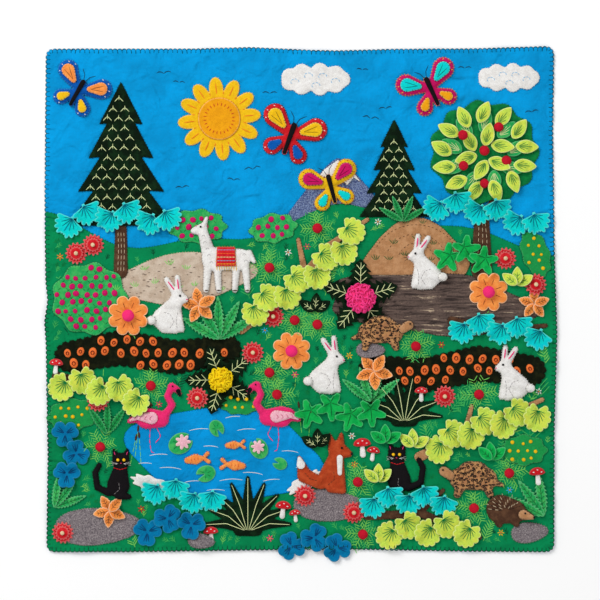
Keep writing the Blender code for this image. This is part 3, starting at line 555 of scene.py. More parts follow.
def printed(name, kind):
    """Printed cloths: leopard, speckle, bark, straw or stone."""
    cloth = Cloth(name)
    fibre = cloth.noise(0.9 * MM, 5, roughness=0.7, distortion=0.8)
    if kind == "leopard":
        wander = cloth.stretched(1.0, 1.35, 25)
        spot = cloth.spots(3.9 * MM, wander)
        broken = cloth.noise(1.9 * MM, 2)
        ground = cloth.mix(cloth.step(cloth.noise(9 * MM), 0.3, 0.7), paint((204, 150, 94)), paint((170, 116, 76)))
        heart = cloth.mix(cloth.step(spot, 0.12, 0.30, 0.75, 0.0), ground, paint((98, 56, 34)))
        ring = cloth.math("MULTIPLY", cloth.step(spot, 0.18, 0.26), cloth.step(spot, 0.44, 0.54, 1.0, 0.0))
        ring = cloth.math("MULTIPLY", ring, cloth.step(broken, 0.28, 0.36))
        tone = cloth.mix(ring, heart, paint((24, 14, 10)))
    elif kind == "denim":
        speck = cloth.noise(1.6 * MM, 2, roughness=0.8)
        tone = cloth.mix(cloth.step(speck, 0.42, 0.58), paint((62, 78, 128)), paint((132, 150, 186)))
        tone = cloth.mix(cloth.step(cloth.noise(1.0 * MM, 1), 0.60, 0.66), tone, paint((40, 52, 92)))
    elif kind == "stone":
        speck = cloth.noise(1.5 * MM, 3, roughness=0.8)
        tone = cloth.mix(cloth.step(speck, 0.40, 0.60), paint((92, 84, 90)), paint((152, 142, 144)))
        tone = cloth.mix(cloth.step(cloth.spots(2.4 * MM), 0.10, 0.24, 0.8, 0.0), tone, paint((206, 198, 196)))
    elif kind == "bark":
        run = cloth.stretched(0.10, 1.0, -8)
        streak = cloth.noise(3.2 * MM, 5, run, 0.7, 0.4)
        tone = cloth.mix(cloth.step(streak, 0.34, 0.56), paint((44, 34, 32)), paint((104, 86, 78)))
        tone = cloth.mix(cloth.step(streak, 0.60, 0.66), tone, paint((196, 174, 146)))
        tone = cloth.mix(cloth.step(cloth.noise(2.0 * MM, 3), 0.55, 0.66, 0.0, 0.55), tone, paint((32, 24, 24)))
    else:
        dash = cloth.spots(3.0 * MM, cloth.stretched(0.36, 1.0, 12))
        tone = cloth.mix(cloth.step(cloth.noise(11 * MM), 0.3, 0.7), paint((216, 198, 178)), paint((192, 170, 148)))
        tone = cloth.mix(cloth.step(dash, 0.16, 0.26, 0.85, 0.0), tone, paint((92, 72, 60)))
    tone = cloth.mix(cloth.step(fibre, 0.30, 0.70, 0.30, 0.0), tone, paint((30, 22, 20)))
    cloth.relief((cloth.noise(5 * MM, 3), 0.5 * MM), (fibre, 0.34 * MM))
    return cloth.finish(tone, 0.93, 0.22, (1, 0.97, 0.92, 1))


def twisted_thread(name, colour):
    """Embroidery cotton: plies that wind round it, lit and shaded along the twist with painted light, with a slight
    gloss.
    """
    cloth = Cloth(name)
    turn = cloth.math("MULTIPLY", cloth.mark("along"), 1 / (1.5 * MM))
    turn = cloth.math("ADD", turn, cloth.math("MULTIPLY", cloth.mark("across"), 0.35))
    ply_relief_and_shade = cloth.math("SINE", cloth.math("MULTIPLY", turn, math.tau), 0.0)
    hair = cloth.noise(0.5 * MM, 3)
    # Painted light and shade: the colour is lighter on each ply and darker in the grooves between them.
    tone = cloth.mix(cloth.step(ply_relief_and_shade, -0.8, 0.8), paint(colour, 0.72), paint(colour, 1.15))
    tone = cloth.mix(cloth.step(hair, 0.4, 0.7, 0.0, 0.3), tone, paint(colour, 1.4))
    cloth.relief((ply_relief_and_shade, 0.10 * MM), (hair, 0.08 * MM))
    return cloth.finish(tone, 0.62, 0.15, paint(colour, 1.6))


COLOUR = {
    "sky": (0, 149, 214),
    "land": (0, 132, 78),
    "pond": (0, 144, 212),
    "tan": (178, 128, 86),
    "dark_green": (7, 24, 10),
    "hedge_green": (14, 19, 7),
    "leaf_green": (36, 165, 86),
    "grass": (28, 146, 72),
    "emerald": (8, 168, 76),
    "crown_green": (6, 112, 56),
    "brown": (76, 50, 36),
    "white": (238, 232, 228),
    "black": (20, 17, 20),
    "rust": (176, 64, 30),
    "yellow": (250, 188, 24),
    "amber": (246, 160, 20),
    "pink": (242, 44, 112),
    "pale_pink": (246, 178, 192),
    "red": (204, 26, 36),
    "berry": (190, 22, 43),
    "magenta": (198, 20, 96),
    "blue": (8, 88, 176),
    "orange": (255, 140, 66),
    "bud_orange": (246, 116, 54),
    "turquoise": (6, 212, 204),
    "lime": (198, 226, 84),
    "teal": (0, 122, 170),
    "cream": (232, 200, 160),
}
WORN = {
    "dark_green": (19, 50, 24),
    "hedge_green": (36, 38, 16),
    "brown": (106, 74, 52),
    "red": (228, 50, 58),
    "tan": (200, 152, 110),
    "rust": (196, 84, 44),
    "crown_green": (20, 140, 66),
    "lime": (224, 222, 78),
    "turquoise": (0, 196, 214),
    "orange": (255, 168, 84),
    "leaf_green": (84, 190, 96),
    "teal": (0, 104, 160),
    "emerald": (30, 190, 84),
}
FELTS = {}


def felt(colour, rim=0.45, nap=1.0):
    """The felt of a colour, made when it is first needed."""
    # rim is the strength of the painted highlight on the cut edge.
    key = (colour, rim, nap)
    if key not in FELTS:
        name = f"{colour}_felt_{len(FELTS)}"
        FELTS[key] = fuzzy_felt(name, COLOUR[colour], rim, nap, WORN.get(colour))
    return FELTS[key]


# Cut pieces
def filled(ring, inner):
    """Points and triangles of the surface inside an outline, bent at the inner points."""
    points = [Vector(point) for point in np.concatenate([ring, inner])]
    rim = list(range(len(ring)))
    verts, _, faces, _, _, _ = delaunay_2d_cdt(points, [], [rim], 1, 1e-6)
    return np.array([vert[:] for vert in verts]), np.array([list(face) for face in faces])


def shell(points, triangles, low, high):
    """Vertices and faces of a closed sheet between two heights at each point."""
    count = len(points)
    verts = np.concatenate([np.column_stack([points, high]), np.column_stack([points, low])])
    uses = {(a, b) for face in triangles.tolist() for a, b in zip(face, face[1:] + face[:1])}
    rim = sorted((a, b) for a, b in uses if (b, a) not in uses)
    faces = triangles.tolist() + (triangles[:, ::-1] + count).tolist()
    faces += [[b, a, a + count, b + count] for a, b in rim]
    return verts, faces


def new_piece(name, verts, faces, material, marks=None):
    """A mesh object in its place, with its material and attributes."""
    mesh = bpy.data.meshes.new(name)
    mesh.from_pydata([tuple(vert) for vert in verts], [], faces)
    mesh.materials.append(material)
    for key, values in (marks or {}).items():
        attribute = mesh.attributes.new(key, "FLOAT", "POINT")
        attribute.data.foreach_set("value", np.asarray(values, np.float32))
    mesh.polygons.foreach_set("use_smooth", np.ones(len(mesh.polygons), bool))
    mesh.update()
    piece = bpy.data.objects.new(name, mesh)
    bpy.context.scene.collection.objects.link(piece)
    return piece


def crown(away, place, thick, puff, reach, dents):
    """Thickness at a distance from the edge: rounded rim, padding and a dent at each stitch."""
    rim = np.clip(away / (0.8 * MM), 0, 1)
    size = thick * (0.62 + 0.38 * np.sqrt(rim * (2 - rim)))
    if puff:
        share = np.clip(away / reach, 0, 1)
        size = size + puff * (share * (2 - share)) ** 0.6
    if dents:
        beat = 0.5 + 0.5 * np.cos(math.tau * place / EDGE_PITCH)
        size = size - dents * beat**3 * np.exp(-((away / (1.9 * MM)) ** 2))
    return size


class Laid:
    def __init__(self, ring, thick, puff=0.0, reach=8 * MM, step=1.9 * MM, dents=0.0, stiff=3, lift=None):
        part = window(ring)
        base = drape(TOP[part], stiff) + GAP
        if lift is not None:
            base = base + lift(np.stack([GRID_X[part], GRID_Y[part]], -1))
        inset = ring - normals_of(ring) * 0.75 * MM
        away_in, _ = edge_facts(inset, ring)
        inner = np.concatenate([inset[away_in > 0.55 * MM], lattice(ring, step, 1.5 * MM)])
        points, triangles = filled(ring, inner)
        away, place = edge_facts(points, ring)
        away = np.maximum(away, 0)
        low = sampled(base, part, points)
        size = crown(away, place, thick, puff, reach, dents)
        self.ring, self.area = ring, abs(ring_area(ring))
        self.verts, self.faces = shell(points, triangles, low, low + size)
        self.edge = np.concatenate([away, away]) / MM
        mask = inside_cells(ring, part)
        cells = np.stack([GRID_X[part][mask], GRID_Y[part][mask]], 1)
        if puff or dents:
            cell_away, cell_place = edge_facts(cells, ring)
            above = crown(np.maximum(cell_away, 0), cell_place, thick, puff, reach, dents)
        else:
            above = thick
        layer = TOP[part]
        layer[mask] = np.maximum(layer[mask], base[mask] + above)


def piece_of(name, laid, material, node=None):
    """One object of one or more laid pieces."""
    verts, faces, edge, count = [], [], [], 0
    for one in laid:
        verts.append(one.verts)
        faces += [[index + count for index in face] for face in one.faces]
        edge.append(one.edge)
        count += len(one.verts)
    piece = new_piece(name, np.concatenate(verts), faces, material, {"edge": np.concatenate(edge)})
    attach(piece, "root")
    if node:
        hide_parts(node)
    return piece


def declare_sheet(laid):
    """Work out the size that a flat piece, or several cut side by side, was cut from; nothing is done with it."""
    widths = sum(float(np.ptp(one.ring[:, 0])) for one in laid)
    length = max(float(np.ptp(one.ring[:, 1])) for one in laid)
    area = sum(one.area for one in laid)
    while area < 0.34 * widths * length:
        length *= 0.9


# Threads: every stroke lies on what is topmost when it is sewn
STROKES = {}


def resampled(path, step):
    """A path in even steps of about that length."""
    path = np.asarray(path, float)
    length = np.concatenate([[0], np.cumsum(np.linalg.norm(np.diff(path, axis=0), axis=1))])
    count = max(2, int(round(length[-1] / step)))
    at = np.linspace(0, length[-1], count + 1)
    return np.stack([np.interp(at, length, path[:, axis]) for axis in (0, 1)], 1)


def sew(thread, path, radius=THREAD_RADIUS, step=THREAD_STEP, rise=0.0):
    """One stitch along a path in metres, that dips into the cloth at both ends."""
    path = resampled(path, step)
    share = np.linspace(0, 1, len(path))
    arch = np.sin(math.pi * share)
    height = top_at(path) + radius * 0.45 + rise * arch
    height[[0, -1]] -= radius * 1.1
    fullness = 0.70 + 0.30 * np.minimum(1, 3 * np.minimum(share, 1 - share))
    STROKES.setdefault(thread, []).append((np.column_stack([path, height]), radius * fullness))


def backstitch(thread, path, length=5 * MM, radius=THREAD_RADIUS, gap=0.12):
    """A line of stitches end to end."""
    path = np.asarray(path, float)
    run = np.concatenate([[0], np.cumsum(np.linalg.norm(np.diff(path, axis=0), axis=1))])
    count = max(1, int(round(run[-1] / length)))
    for number in range(count):
        at = np.linspace(number + gap / 2, number + 1 - gap / 2, 5) * run[-1] / count
        sew(thread, np.stack([np.interp(at, run, path[:, axis]) for axis in (0, 1)], 1), radius)


def whip(thread, ring, inside=1.4 * MM, outside=0.9 * MM, pitch=EDGE_PITCH, radius=0.34 * MM, share=None):
    """Small slanted stitches over a piece's edge."""
    out = normals_of(ring)
    run = np.concatenate([[0], np.cumsum(np.linalg.norm(np.diff(ring, axis=0), axis=1))])
    for number in range(int(run[-1] / pitch)):
        index = int(np.searchsorted(run, number * pitch))
        if share is not None and not share(ring[index]):
            continue
        way = np.array([-out[index][1], out[index][0]])
        lean = CHANCE.uniform(0.1, 0.8) * MM
        start = ring[index] - out[index] * inside * CHANCE.uniform(0.8, 1.2)
        end = ring[index] + out[index] * outside + way * lean
        sew(thread, [start, end], radius, 1.25 * MM, 0.15 * MM)


def thread_tree():
    """Thread along every path of a mesh of edges, thin where its fullness says so."""
    tree = bpy.data.node_groups.new("thread_on_paths", "GeometryNodeTree")
    sockets = tree.interface
    sockets.new_socket("Paths", in_out="INPUT", socket_type="NodeSocketGeometry")
    sockets.new_socket("Thread Sides", in_out="INPUT", socket_type="NodeSocketInt")
    sockets.new_socket("Thread", in_out="INPUT", socket_type="NodeSocketMaterial")
    sockets.new_socket("Threads", in_out="OUTPUT", socket_type="NodeSocketGeometry")
    given = add_node(tree, "NodeGroupInput").outputs
    paths = add_node(tree, "GeometryNodeMeshToCurve", {"Mesh": given["Paths"]})
    radius = add_node(tree, "GeometryNodeInputNamedAttribute", {"Name": "radius_here"}, data_type="FLOAT")
    paths = add_node(
        tree,
        "GeometryNodeSetCurveRadius",
        {"Curve": paths.outputs["Curve"], "Radius": radius.outputs["Attribute"]},
    )
    run = add_node(tree, "GeometryNodeSplineParameter")
    paths = add_node(
        tree,
        "GeometryNodeStoreNamedAttribute",
        {"Geometry": paths.outputs["Curve"], "Name": "along", "Value": run.outputs["Length"]},
        data_type="FLOAT",
        domain="POINT",
    )
    circle = add_node(
        tree, "GeometryNodeCurvePrimitiveCircle", {"Resolution": given["Thread Sides"], "Radius": 1.0}
    )
    where = add_node(tree, "GeometryNodeInputPosition")
    split = add_node(tree, "ShaderNodeSeparateXYZ", {"Vector": where.outputs["Position"]})
    circle = add_node(
        tree,
        "GeometryNodeStoreNamedAttribute",
        {"Geometry": circle.outputs["Curve"], "Name": "across", "Value": split.outputs["X"]},
        data_type="FLOAT",
        domain="POINT",
    )
    tube = add_node(
        tree,
        "GeometryNodeCurveToMesh",
        {"Curve": paths.outputs["Geometry"], "Profile Curve": circle.outputs["Geometry"], "Fill Caps": True},
    )
    if "Scale" in tube.inputs:
        again = add_node(tree, "GeometryNodeInputNamedAttribute", {"Name": "radius_here"}, data_type="FLOAT")
        tree.links.new(again.outputs["Attribute"], tube.inputs["Scale"])
    smooth = add_node(tree, "GeometryNodeSetShadeSmooth", {"Geometry": tube.outputs["Mesh"]})
    real = add_node(tree, "GeometryNodeRealizeInstances", {"Geometry": smooth.outputs["Geometry"]})
    dyed = add_node(
        tree,
        "GeometryNodeSetMaterial",
        {"Geometry": real.outputs["Geometry"], "Material": given["Thread"]},
    )
    add_node(tree, "NodeGroupOutput", {"Threads": dyed.outputs["Geometry"]})
    return tree


def grown(name, mesh, tree, inputs):
    """The mesh that a geometry tree makes of a mesh, as an object of its own."""
    guide = bpy.data.objects.new(name + "_guide", mesh)
    bpy.context.scene.collection.objects.link(guide)
    modifier = guide.modifiers.new("grown", "NODES")
    modifier.node_group = tree
    for item in tree.interface.items_tree:
        if item.item_type == "SOCKET" and item.in_out == "INPUT" and item.name in inputs:
            modifier[item.identifier] = inputs[item.name]
    depsgraph = bpy.context.evaluated_depsgraph_get()
    made = bpy.data.meshes.new_from_object(guide.evaluated_get(depsgraph))
    bpy.data.objects.remove(guide)
    made.name = name
    piece = bpy.data.objects.new(name, made)
    bpy.context.scene.collection.objects.link(piece)
    return piece


def pull_threads(threads):
    """Make every thread that has been sewn, one object for each colour."""
    tree = thread_tree()
    for thread, strokes in STROKES.items():
        verts, edges, radii = [], [], []
        for path, radius in strokes:
            first = len(verts)
            verts += [tuple(point) for point in path]
            edges += [(first + step, first + step + 1) for step in range(len(path) - 1)]
            radii += radius.tolist()
        mesh = bpy.data.meshes.new(thread)
        mesh.from_pydata(verts, edges, [])
        attribute = mesh.attributes.new("radius_here", "FLOAT", "POINT")
        attribute.data.foreach_set("value", np.array(radii, np.float32))
        colour, slot = threads[thread]
        material = twisted_thread(thread + "_thread", colour)
        piece = grown("stitches_" + thread, mesh, tree, {"Thread Sides": THREAD_SIDES, "Thread": material})
        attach(piece, "root")


def pile_tree():
    """Loops of wool that stand up all over a ball."""
    tree = bpy.data.node_groups.new("wool_pile", "GeometryNodeTree")
    sockets = tree.interface
    sockets.new_socket("Ball", in_out="INPUT", socket_type="NodeSocketGeometry")
    sockets.new_socket("Loops Per Area", in_out="INPUT", socket_type="NodeSocketFloat")
    sockets.new_socket("Loop Radius", in_out="INPUT", socket_type="NodeSocketFloat")
    sockets.new_socket("Wool Radius", in_out="INPUT", socket_type="NodeSocketFloat")
    sockets.new_socket("Seed", in_out="INPUT", socket_type="NodeSocketInt")
    sockets.new_socket("Wool", in_out="INPUT", socket_type="NodeSocketMaterial")
    sockets.new_socket("Pile", in_out="OUTPUT", socket_type="NodeSocketGeometry")
    given = add_node(tree, "NodeGroupInput").outputs
    spread = add_node(
        tree,
        "GeometryNodeDistributePointsOnFaces",
        {"Mesh": given["Ball"], "Density": given["Loops Per Area"], "Seed": given["Seed"]},
    )
    arc = add_node(
        tree,
        "GeometryNodeCurveArc",
        {"Resolution": 9, "Radius": given["Loop Radius"], "Start Angle": -0.6, "Sweep Angle": 4.4},
    )
    circle = add_node(
        tree, "GeometryNodeCurvePrimitiveCircle", {"Resolution": 5, "Radius": given["Wool Radius"]}
    )
    tube = add_node(
        tree,
        "GeometryNodeCurveToMesh",
        {"Curve": arc.outputs["Curve"], "Profile Curve": circle.outputs["Curve"], "Fill Caps": True},
    )
    upright = add_node(
        tree,
        "GeometryNodeTransform",
        {"Geometry": tube.outputs["Mesh"], "Rotation": (math.pi / 2, 0.0, 0.0)},
    )
    smooth = add_node(tree, "GeometryNodeSetShadeSmooth", {"Geometry": upright.outputs["Geometry"]})
    loops = add_node(
        tree,
        "GeometryNodeInstanceOnPoints",
        {
            "Points": spread.outputs["Points"],
            "Instance": smooth.outputs["Geometry"],
            "Rotation": spread.outputs["Rotation"],
        },
    )
    lean = add_node(
        tree,
        "FunctionNodeRandomValue",
        {"Min": (-0.5, -0.5, 0.0), "Max": (0.5, 0.5, math.tau), "Seed": given["Seed"]},
        data_type="FLOAT_VECTOR",
    )
    turned = add_node(
        tree,
        "GeometryNodeRotateInstances",
        {"Instances": loops.outputs["Instances"], "Rotation": lean.outputs["Value"], "Local Space": True},
    )
    size = add_node(
        tree,
        "FunctionNodeRandomValue",
        {"Min": (0.75, 0.75, 0.7), "Max": (1.2, 1.2, 1.25), "Seed": given["Seed"]},
        data_type="FLOAT_VECTOR",
    )
    sized = add_node(
        tree,
        "GeometryNodeScaleInstances",
        {"Instances": turned.outputs["Instances"], "Scale": size.outputs["Value"], "Local Space": True},
    )
    both = add_node(tree, "GeometryNodeJoinGeometry")
    tree.links.new(given["Ball"], both.inputs["Geometry"])
    tree.links.new(sized.outputs["Instances"], both.inputs["Geometry"])
    real = add_node(tree, "GeometryNodeRealizeInstances", {"Geometry": both.outputs["Geometry"]})
    dyed = add_node(
        tree,
        "GeometryNodeSetMaterial",
        {"Geometry": real.outputs["Geometry"], "Material": given["Wool"]},
    )
    add_node(tree, "NodeGroupOutput", {"Pile": dyed.outputs["Geometry"]})
    return tree


def scatter_tree():
    """One small domed bud on every point, turned and sized as the point says."""
    tree = bpy.data.node_groups.new("buds_on_points", "GeometryNodeTree")
    sockets = tree.interface
    sockets.new_socket("Points", in_out="INPUT", socket_type="NodeSocketGeometry")
    sockets.new_socket("Bud Length", in_out="INPUT", socket_type="NodeSocketFloat")
    sockets.new_socket("Bud Width", in_out="INPUT", socket_type="NodeSocketFloat")
    sockets.new_socket("Bud Height", in_out="INPUT", socket_type="NodeSocketFloat")
    sockets.new_socket("Felt", in_out="INPUT", socket_type="NodeSocketMaterial")
    sockets.new_socket("Buds", in_out="OUTPUT", socket_type="NodeSocketGeometry")
    given = add_node(tree, "NodeGroupInput").outputs
    dome = add_node(tree, "GeometryNodeMeshUVSphere", {"Segments": 12, "Rings": 6, "Radius": 0.5})
    scale = add_node(
        tree,
        "ShaderNodeCombineXYZ",
        {"X": given["Bud Length"], "Y": given["Bud Width"], "Z": given["Bud Height"]},
    )
    bud = add_node(
        tree,
        "GeometryNodeTransform",
        {"Geometry": dome.outputs["Mesh"], "Scale": scale.outputs["Vector"]},
    )
    smooth = add_node(tree, "GeometryNodeSetShadeSmooth", {"Geometry": bud.outputs["Geometry"]})
    turn = add_node(tree, "GeometryNodeInputNamedAttribute", {"Name": "turn"}, data_type="FLOAT")
    spin = add_node(tree, "ShaderNodeCombineXYZ", {"Z": turn.outputs["Attribute"]})
    size = add_node(tree, "GeometryNodeInputNamedAttribute", {"Name": "size"}, data_type="FLOAT")
    buds = add_node(
        tree,
        "GeometryNodeInstanceOnPoints",
        {
            "Points": given["Points"],
            "Instance": smooth.outputs["Geometry"],
            "Rotation": spin.outputs["Vector"],
            "Scale": size.outputs["Attribute"],
        },
    )
    real = add_node(tree, "GeometryNodeRealizeInstances", {"Geometry": buds.outputs["Instances"]})
    dyed = add_node(
        tree,
        "GeometryNodeSetMaterial",
        {"Geometry": real.outputs["Geometry"], "Material": given["Felt"]},
    )
    add_node(tree, "NodeGroupOutput", {"Buds": dyed.outputs["Geometry"]})
    return tree


def wool(name, colour):
    """Knitting wool: fine hairs along its twist."""
    cloth = Cloth(name)
    hair = cloth.noise(0.6 * MM, 5, roughness=0.8, distortion=1.5)
    loop = cloth.noise(3.0 * MM, 2)
    tone = cloth.mix(cloth.step(hair, 0.3, 0.7), paint(colour, 0.86), paint(colour, 1.35))
    tone = cloth.mix(cloth.step(loop, 0.4, 0.65, 0.0, 0.3), tone, paint(colour, 0.86))
    cloth.relief((hair, 0.3 * MM))
    return cloth.finish(tone, 0.9, 0.45, paint(colour, 1.8))


def glass_bead(name, colour):
    """Small glossy bead."""
    cloth = Cloth(name)
    tone = cloth.mix(cloth.step(cloth.noise(2 * MM, 2), 0.3, 0.7), paint(colour, 0.85), paint(colour, 1.15))
    cloth.relief((cloth.noise(1.5 * MM, 2), 0.05 * MM))
    return cloth.finish(tone, 0.16)


def round_ball(x, y, z, radius, flat, sides=20, rings=12, lumps=0.03):
    """A stuffed ball: points and faces, with soft lumps and its poles closed."""
    ball = bmesh.new()
    bmesh.ops.create_uvsphere(ball, u_segments=sides, v_segments=rings, radius=1.0)
    verts = []
    phase = 40 * (x + y)
    for vert in ball.verts:
        out = vert.co.normalized()
        swell = 1 + lumps * math.sin(5 * out.x + phase) * math.sin(4 * out.y + 2 * out.z - phase)
        verts.append((x + out.x * radius * swell, y + out.y * radius * swell, z + out.z * radius * flat * swell))
    faces = [[vert.index for vert in face.verts] for face in ball.faces]
    ball.free()
    return verts, faces


def balls(name, places, material, flat=0.72, sides=20, rings=12):
    """Stuffed balls sewn on at x, y, radius in cm, as one piece."""
    verts, faces = [], []
    for x, y, radius in places:
        x, y, radius = x * CM, y * CM, radius * CM
        seat = float(top_at([(x, y)])[0]) + 0.82 * radius * flat
        some, some_faces = round_ball(x, y, seat, radius, flat, sides, rings)
        faces += [[index + len(verts) for index in face] for face in some_faces]
        verts += some
        out = np.hypot(GRID_X - x, GRID_Y - y) / radius
        near = out < 1
        TOP[near] = np.maximum(TOP[near], seat + radius * flat * np.sqrt(1 - out[near] ** 2))
    piece = new_piece(name, verts, faces, material, {"edge": np.full(len(verts), 5.0)})
    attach(piece, "root")
    return piece


def buds(name, places, length, width, height, material, slot):
    """Small domed felt buds at x, y, turn, size, sewn where they are topmost."""
    places = np.array(places, float)
    spots = places[:, :2] * CM
    seats = top_at(spots) + 0.12 * height
    mesh = bpy.data.meshes.new(name)
    mesh.from_pydata([(x, y, z) for (x, y), z in zip(spots, seats)], [], [])
    for (x, y), seat, size in zip(spots, seats, places[:, 3]):
        radius = 0.5 * width * size
        part = window(np.array([(x - radius, y - radius), (x + radius, y + radius)]), 1)
        out = np.hypot(GRID_X[part] - x, GRID_Y[part] - y) / radius
        dome = seat + 0.5 * height * size * np.sqrt(np.clip(1 - out**2, 0, 1))
        TOP[part] = np.where(out < 1, np.maximum(TOP[part], dome), TOP[part])
    for key, column in (("turn", 2), ("size", 3)):
        attribute = mesh.attributes.new(key, "FLOAT", "POINT")
        attribute.data.foreach_set("value", places[:, column].astype(np.float32))
    inputs = {"Bud Length": length, "Bud Width": width, "Bud Height": height, "Felt": material}
    piece = grown(name, mesh, SCATTER, inputs)
    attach(piece, "root")
    return piece


def pompom(node, material, seed):
    """A wool pompom where its node is, seated on what lies below."""
    low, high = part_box(node)
    x, y, radius = (low.x + high.x) / 2, (low.y + high.y) / 2, (high.x - low.x) / 2
    near = np.hypot(GRID_X - x, GRID_Y - y) < 0.6 * radius
    seat = TOP[near].max()
    body = radius - POMPOM_LOOP * 0.9
    tall = (high.z - low.z) * 0.50
    verts, faces = round_ball(x, y, seat + 0.62 * tall, body, tall / body, 20, 12, 0.04)
    core = bpy.data.meshes.new(node + "_core")
    core.from_pydata(verts, [], faces)
    inputs = {
        "Loops Per Area": POMPOM_LOOPS,
        "Loop Radius": POMPOM_LOOP,
        "Wool Radius": 0.95 * MM,
        "Seed": seed,
        "Wool": material,
    }
    piece = grown(node + "_wool", core, pile_tree(), inputs)
    low_verts = [vert for vert in piece.data.vertices if vert.co.z < seat - 0.5 * MM]
    for vert in low_verts:
        vert.co.z = seat - 0.5 * MM
    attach(piece, "root")
    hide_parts(node)


POMPOM_LOOP = 2.9 * MM
POMPOM_LOOPS = 90000.0

# Leaves of the garlands, in cm, tip up
SPREAD = np.linspace(-100, 100, 181)


def fan_leaf():
    """Fan-shaped leaf with a scalloped rim, a notch at its middle and a short stalk."""
    scallop = np.abs(np.cos(np.radians(SPREAD * 8.1))) ** 0.7
    rim = 1.92 * (0.80 + 0.23 * scallop - 0.24 * np.exp(-((SPREAD / 6) ** 2)))
    turn = np.radians(SPREAD)
    fan = np.stack([rim * np.sin(turn), rim * np.cos(turn) * 1.15 - 0.55], 1)
    return np.concatenate([fan, [[0.2, -1.1], [0.2, -1.4], [-0.2, -1.4], [-0.2, -1.1]]])


def lobed_leaf():
    """Round leaf with eleven round scallops and a notch at its foot."""
    share = np.linspace(0, 1, 232)
    turn = np.radians(320 * share - 160)
    reach = 1.60 + 0.30 * np.abs(np.sin(11 * math.pi * share)) ** 0.55
    round_rim = np.stack([reach * np.sin(turn), 1.05 * reach * np.cos(turn)], 1)
    return np.concatenate([round_rim, [[0.12, -1.2], [0.0, -0.95], [-0.12, -1.2]]])


def star_leaf():
    """Leaf with five pointed, toothed lobes."""
    turn = np.arange(240) * math.tau / 240
    lobe = 0.74 + 0.26 * np.cos(5 * (turn - math.pi / 2))
    teeth = 0.05 * np.abs(np.sin(12.5 * (turn - math.pi / 2)))
    reach = 1.93 * (lobe + teeth)
    return np.stack([reach * np.cos(turn), reach * np.sin(turn)], 1)


def clover_leaf():
    """Three heart-shaped leaflets."""
    lobes = []
    for leaflet in range(3):
        heading = math.pi / 2 + leaflet * math.tau / 3
        for side in (-0.36, 0.36):
            turn = heading + side
            lobes.append(Limb(1.12 * math.cos(turn), 1.12 * math.sin(turn), 0.72, 0.0, 0.0, 0.34))
    return joined([limb_outline(lobe) for lobe in lobes])


def fan_veins(foot, reaches):
    """Veins from a foot, each to its heading and reach."""
    return [
        [(0, foot), (reach * math.sin(math.radians(turn)), foot + reach * math.cos(math.radians(turn)))]
        for turn, reach in reaches
    ]


CLOVER_VEINS = [
    [(0.2 * math.cos(turn), 0.2 * math.sin(turn)), (1.3 * math.cos(turn), 1.3 * math.sin(turn))]
    for turn in np.radians([90, 210, 330, 75, 105, 195, 225, 315, 345])
]
LEAVES = {
    "fan": (
        fan_leaf(),
        fan_veins(-1.1, ((0, 2.0), (20, 1.7), (-20, 1.7), (42, 1.5), (-42, 1.5), (66, 1.2), (-66, 1.2))),
    ),
    "lobed": (
        lobed_leaf(),
        fan_veins(
            -0.9,
            ((0, 1.9), (17, 1.8), (-17, 1.8), (34, 1.6), (-34, 1.6), (54, 1.3), (-54, 1.3), (78, 1), (-78, 1)),
        ),
    ),
    "star": (star_leaf(), fan_veins(-0.5, ((0, 1.9), (66, 1.3), (-66, 1.3), (150, 1.0), (-150, 1.0)))),
    "clover": (clover_leaf(), CLOVER_VEINS),
}
Garland = namedtuple("Garland", "name leaf x y to_x to_y size bow colour thread")
GARLANDS = (
    Garland("leaves_turquoise_1", "fan", -27.6, 9.4, -15.6, 9.2, 0.90, 0.8, "turquoise", "teal"),
    Garland("leaves_turquoise_2", "fan", 16.2, 11.4, 28.0, 8.8, 0.90, 0.6, "turquoise", "teal"),
    Garland("leaves_turquoise_3", "fan", 19.2, -3.2, 28.2, -4.0, 0.90, 0.3, "turquoise", "teal"),
    Garland("leaves_turquoise_4", "fan", -17.2, -22.4, -10.6, -24.2, 0.88, 0.2, "turquoise", "teal"),
    Garland("leaves_turquoise_5", "fan", 8.6, -24.0, 17.0, -23.8, 0.88, 0.3, "turquoise", "teal"),
    Garland("leaves_lime_1", "lobed", -28.2, -9.8, -19.4, -11.6, 0.88, 0.4, "lime", "leaf_vein"),
    Garland("leaves_lime_2", "lobed", -5.6, -1.0, 6.4, 7.8, 0.88, -0.8, "lime", "leaf_vein"),
    Garland("leaves_lime_3", "lobed", 16.4, -17.2, 28.0, -13.4, 0.90, 0.5, "lime", "leaf_vein"),
    Garland("leaves_lime_4", "lobed", 10.6, -27.4, 19.8, -27.2, 0.88, 0.2, "lime", "leaf_vein"),
    Garland("leaves_teal_1", "clover", -18.2, -27.0, -13.0, -26.2, 0.95, 0.2, "teal", "navy"),
    Garland("leaves_teal_2", "clover", -1.0, -28.7, 4.4, -28.9, 0.95, 0.1, "teal", "navy"),
    Garland("leaves_teal_3", "clover", -27.4, -15.8, -27.2, -20.6, 0.90, 0.2, "teal", "navy"),
    Garland("leaves_emerald_1", "star", 1.2, -13.0, 8.4, -13.8, 0.92, 0.2, "emerald", "green"),
    Garland("leaves_emerald_2", "star", 17.6, 5.6, 21.8, 5.2, 0.92, 0.1, "emerald", "green"),
)
# How strong the painted highlight on the cut edge of each leaf colour is.
RIM_HIGHLIGHTS = {"teal": 0.25, "turquoise": 0.5}
LEAF_SPACING = 2.2
LEAF_STAGGER = 0.5
LEAF_LEAN = 24.0
LEAF_TWIST = 14.0
LEAF_LIFT = 2.3 * MM


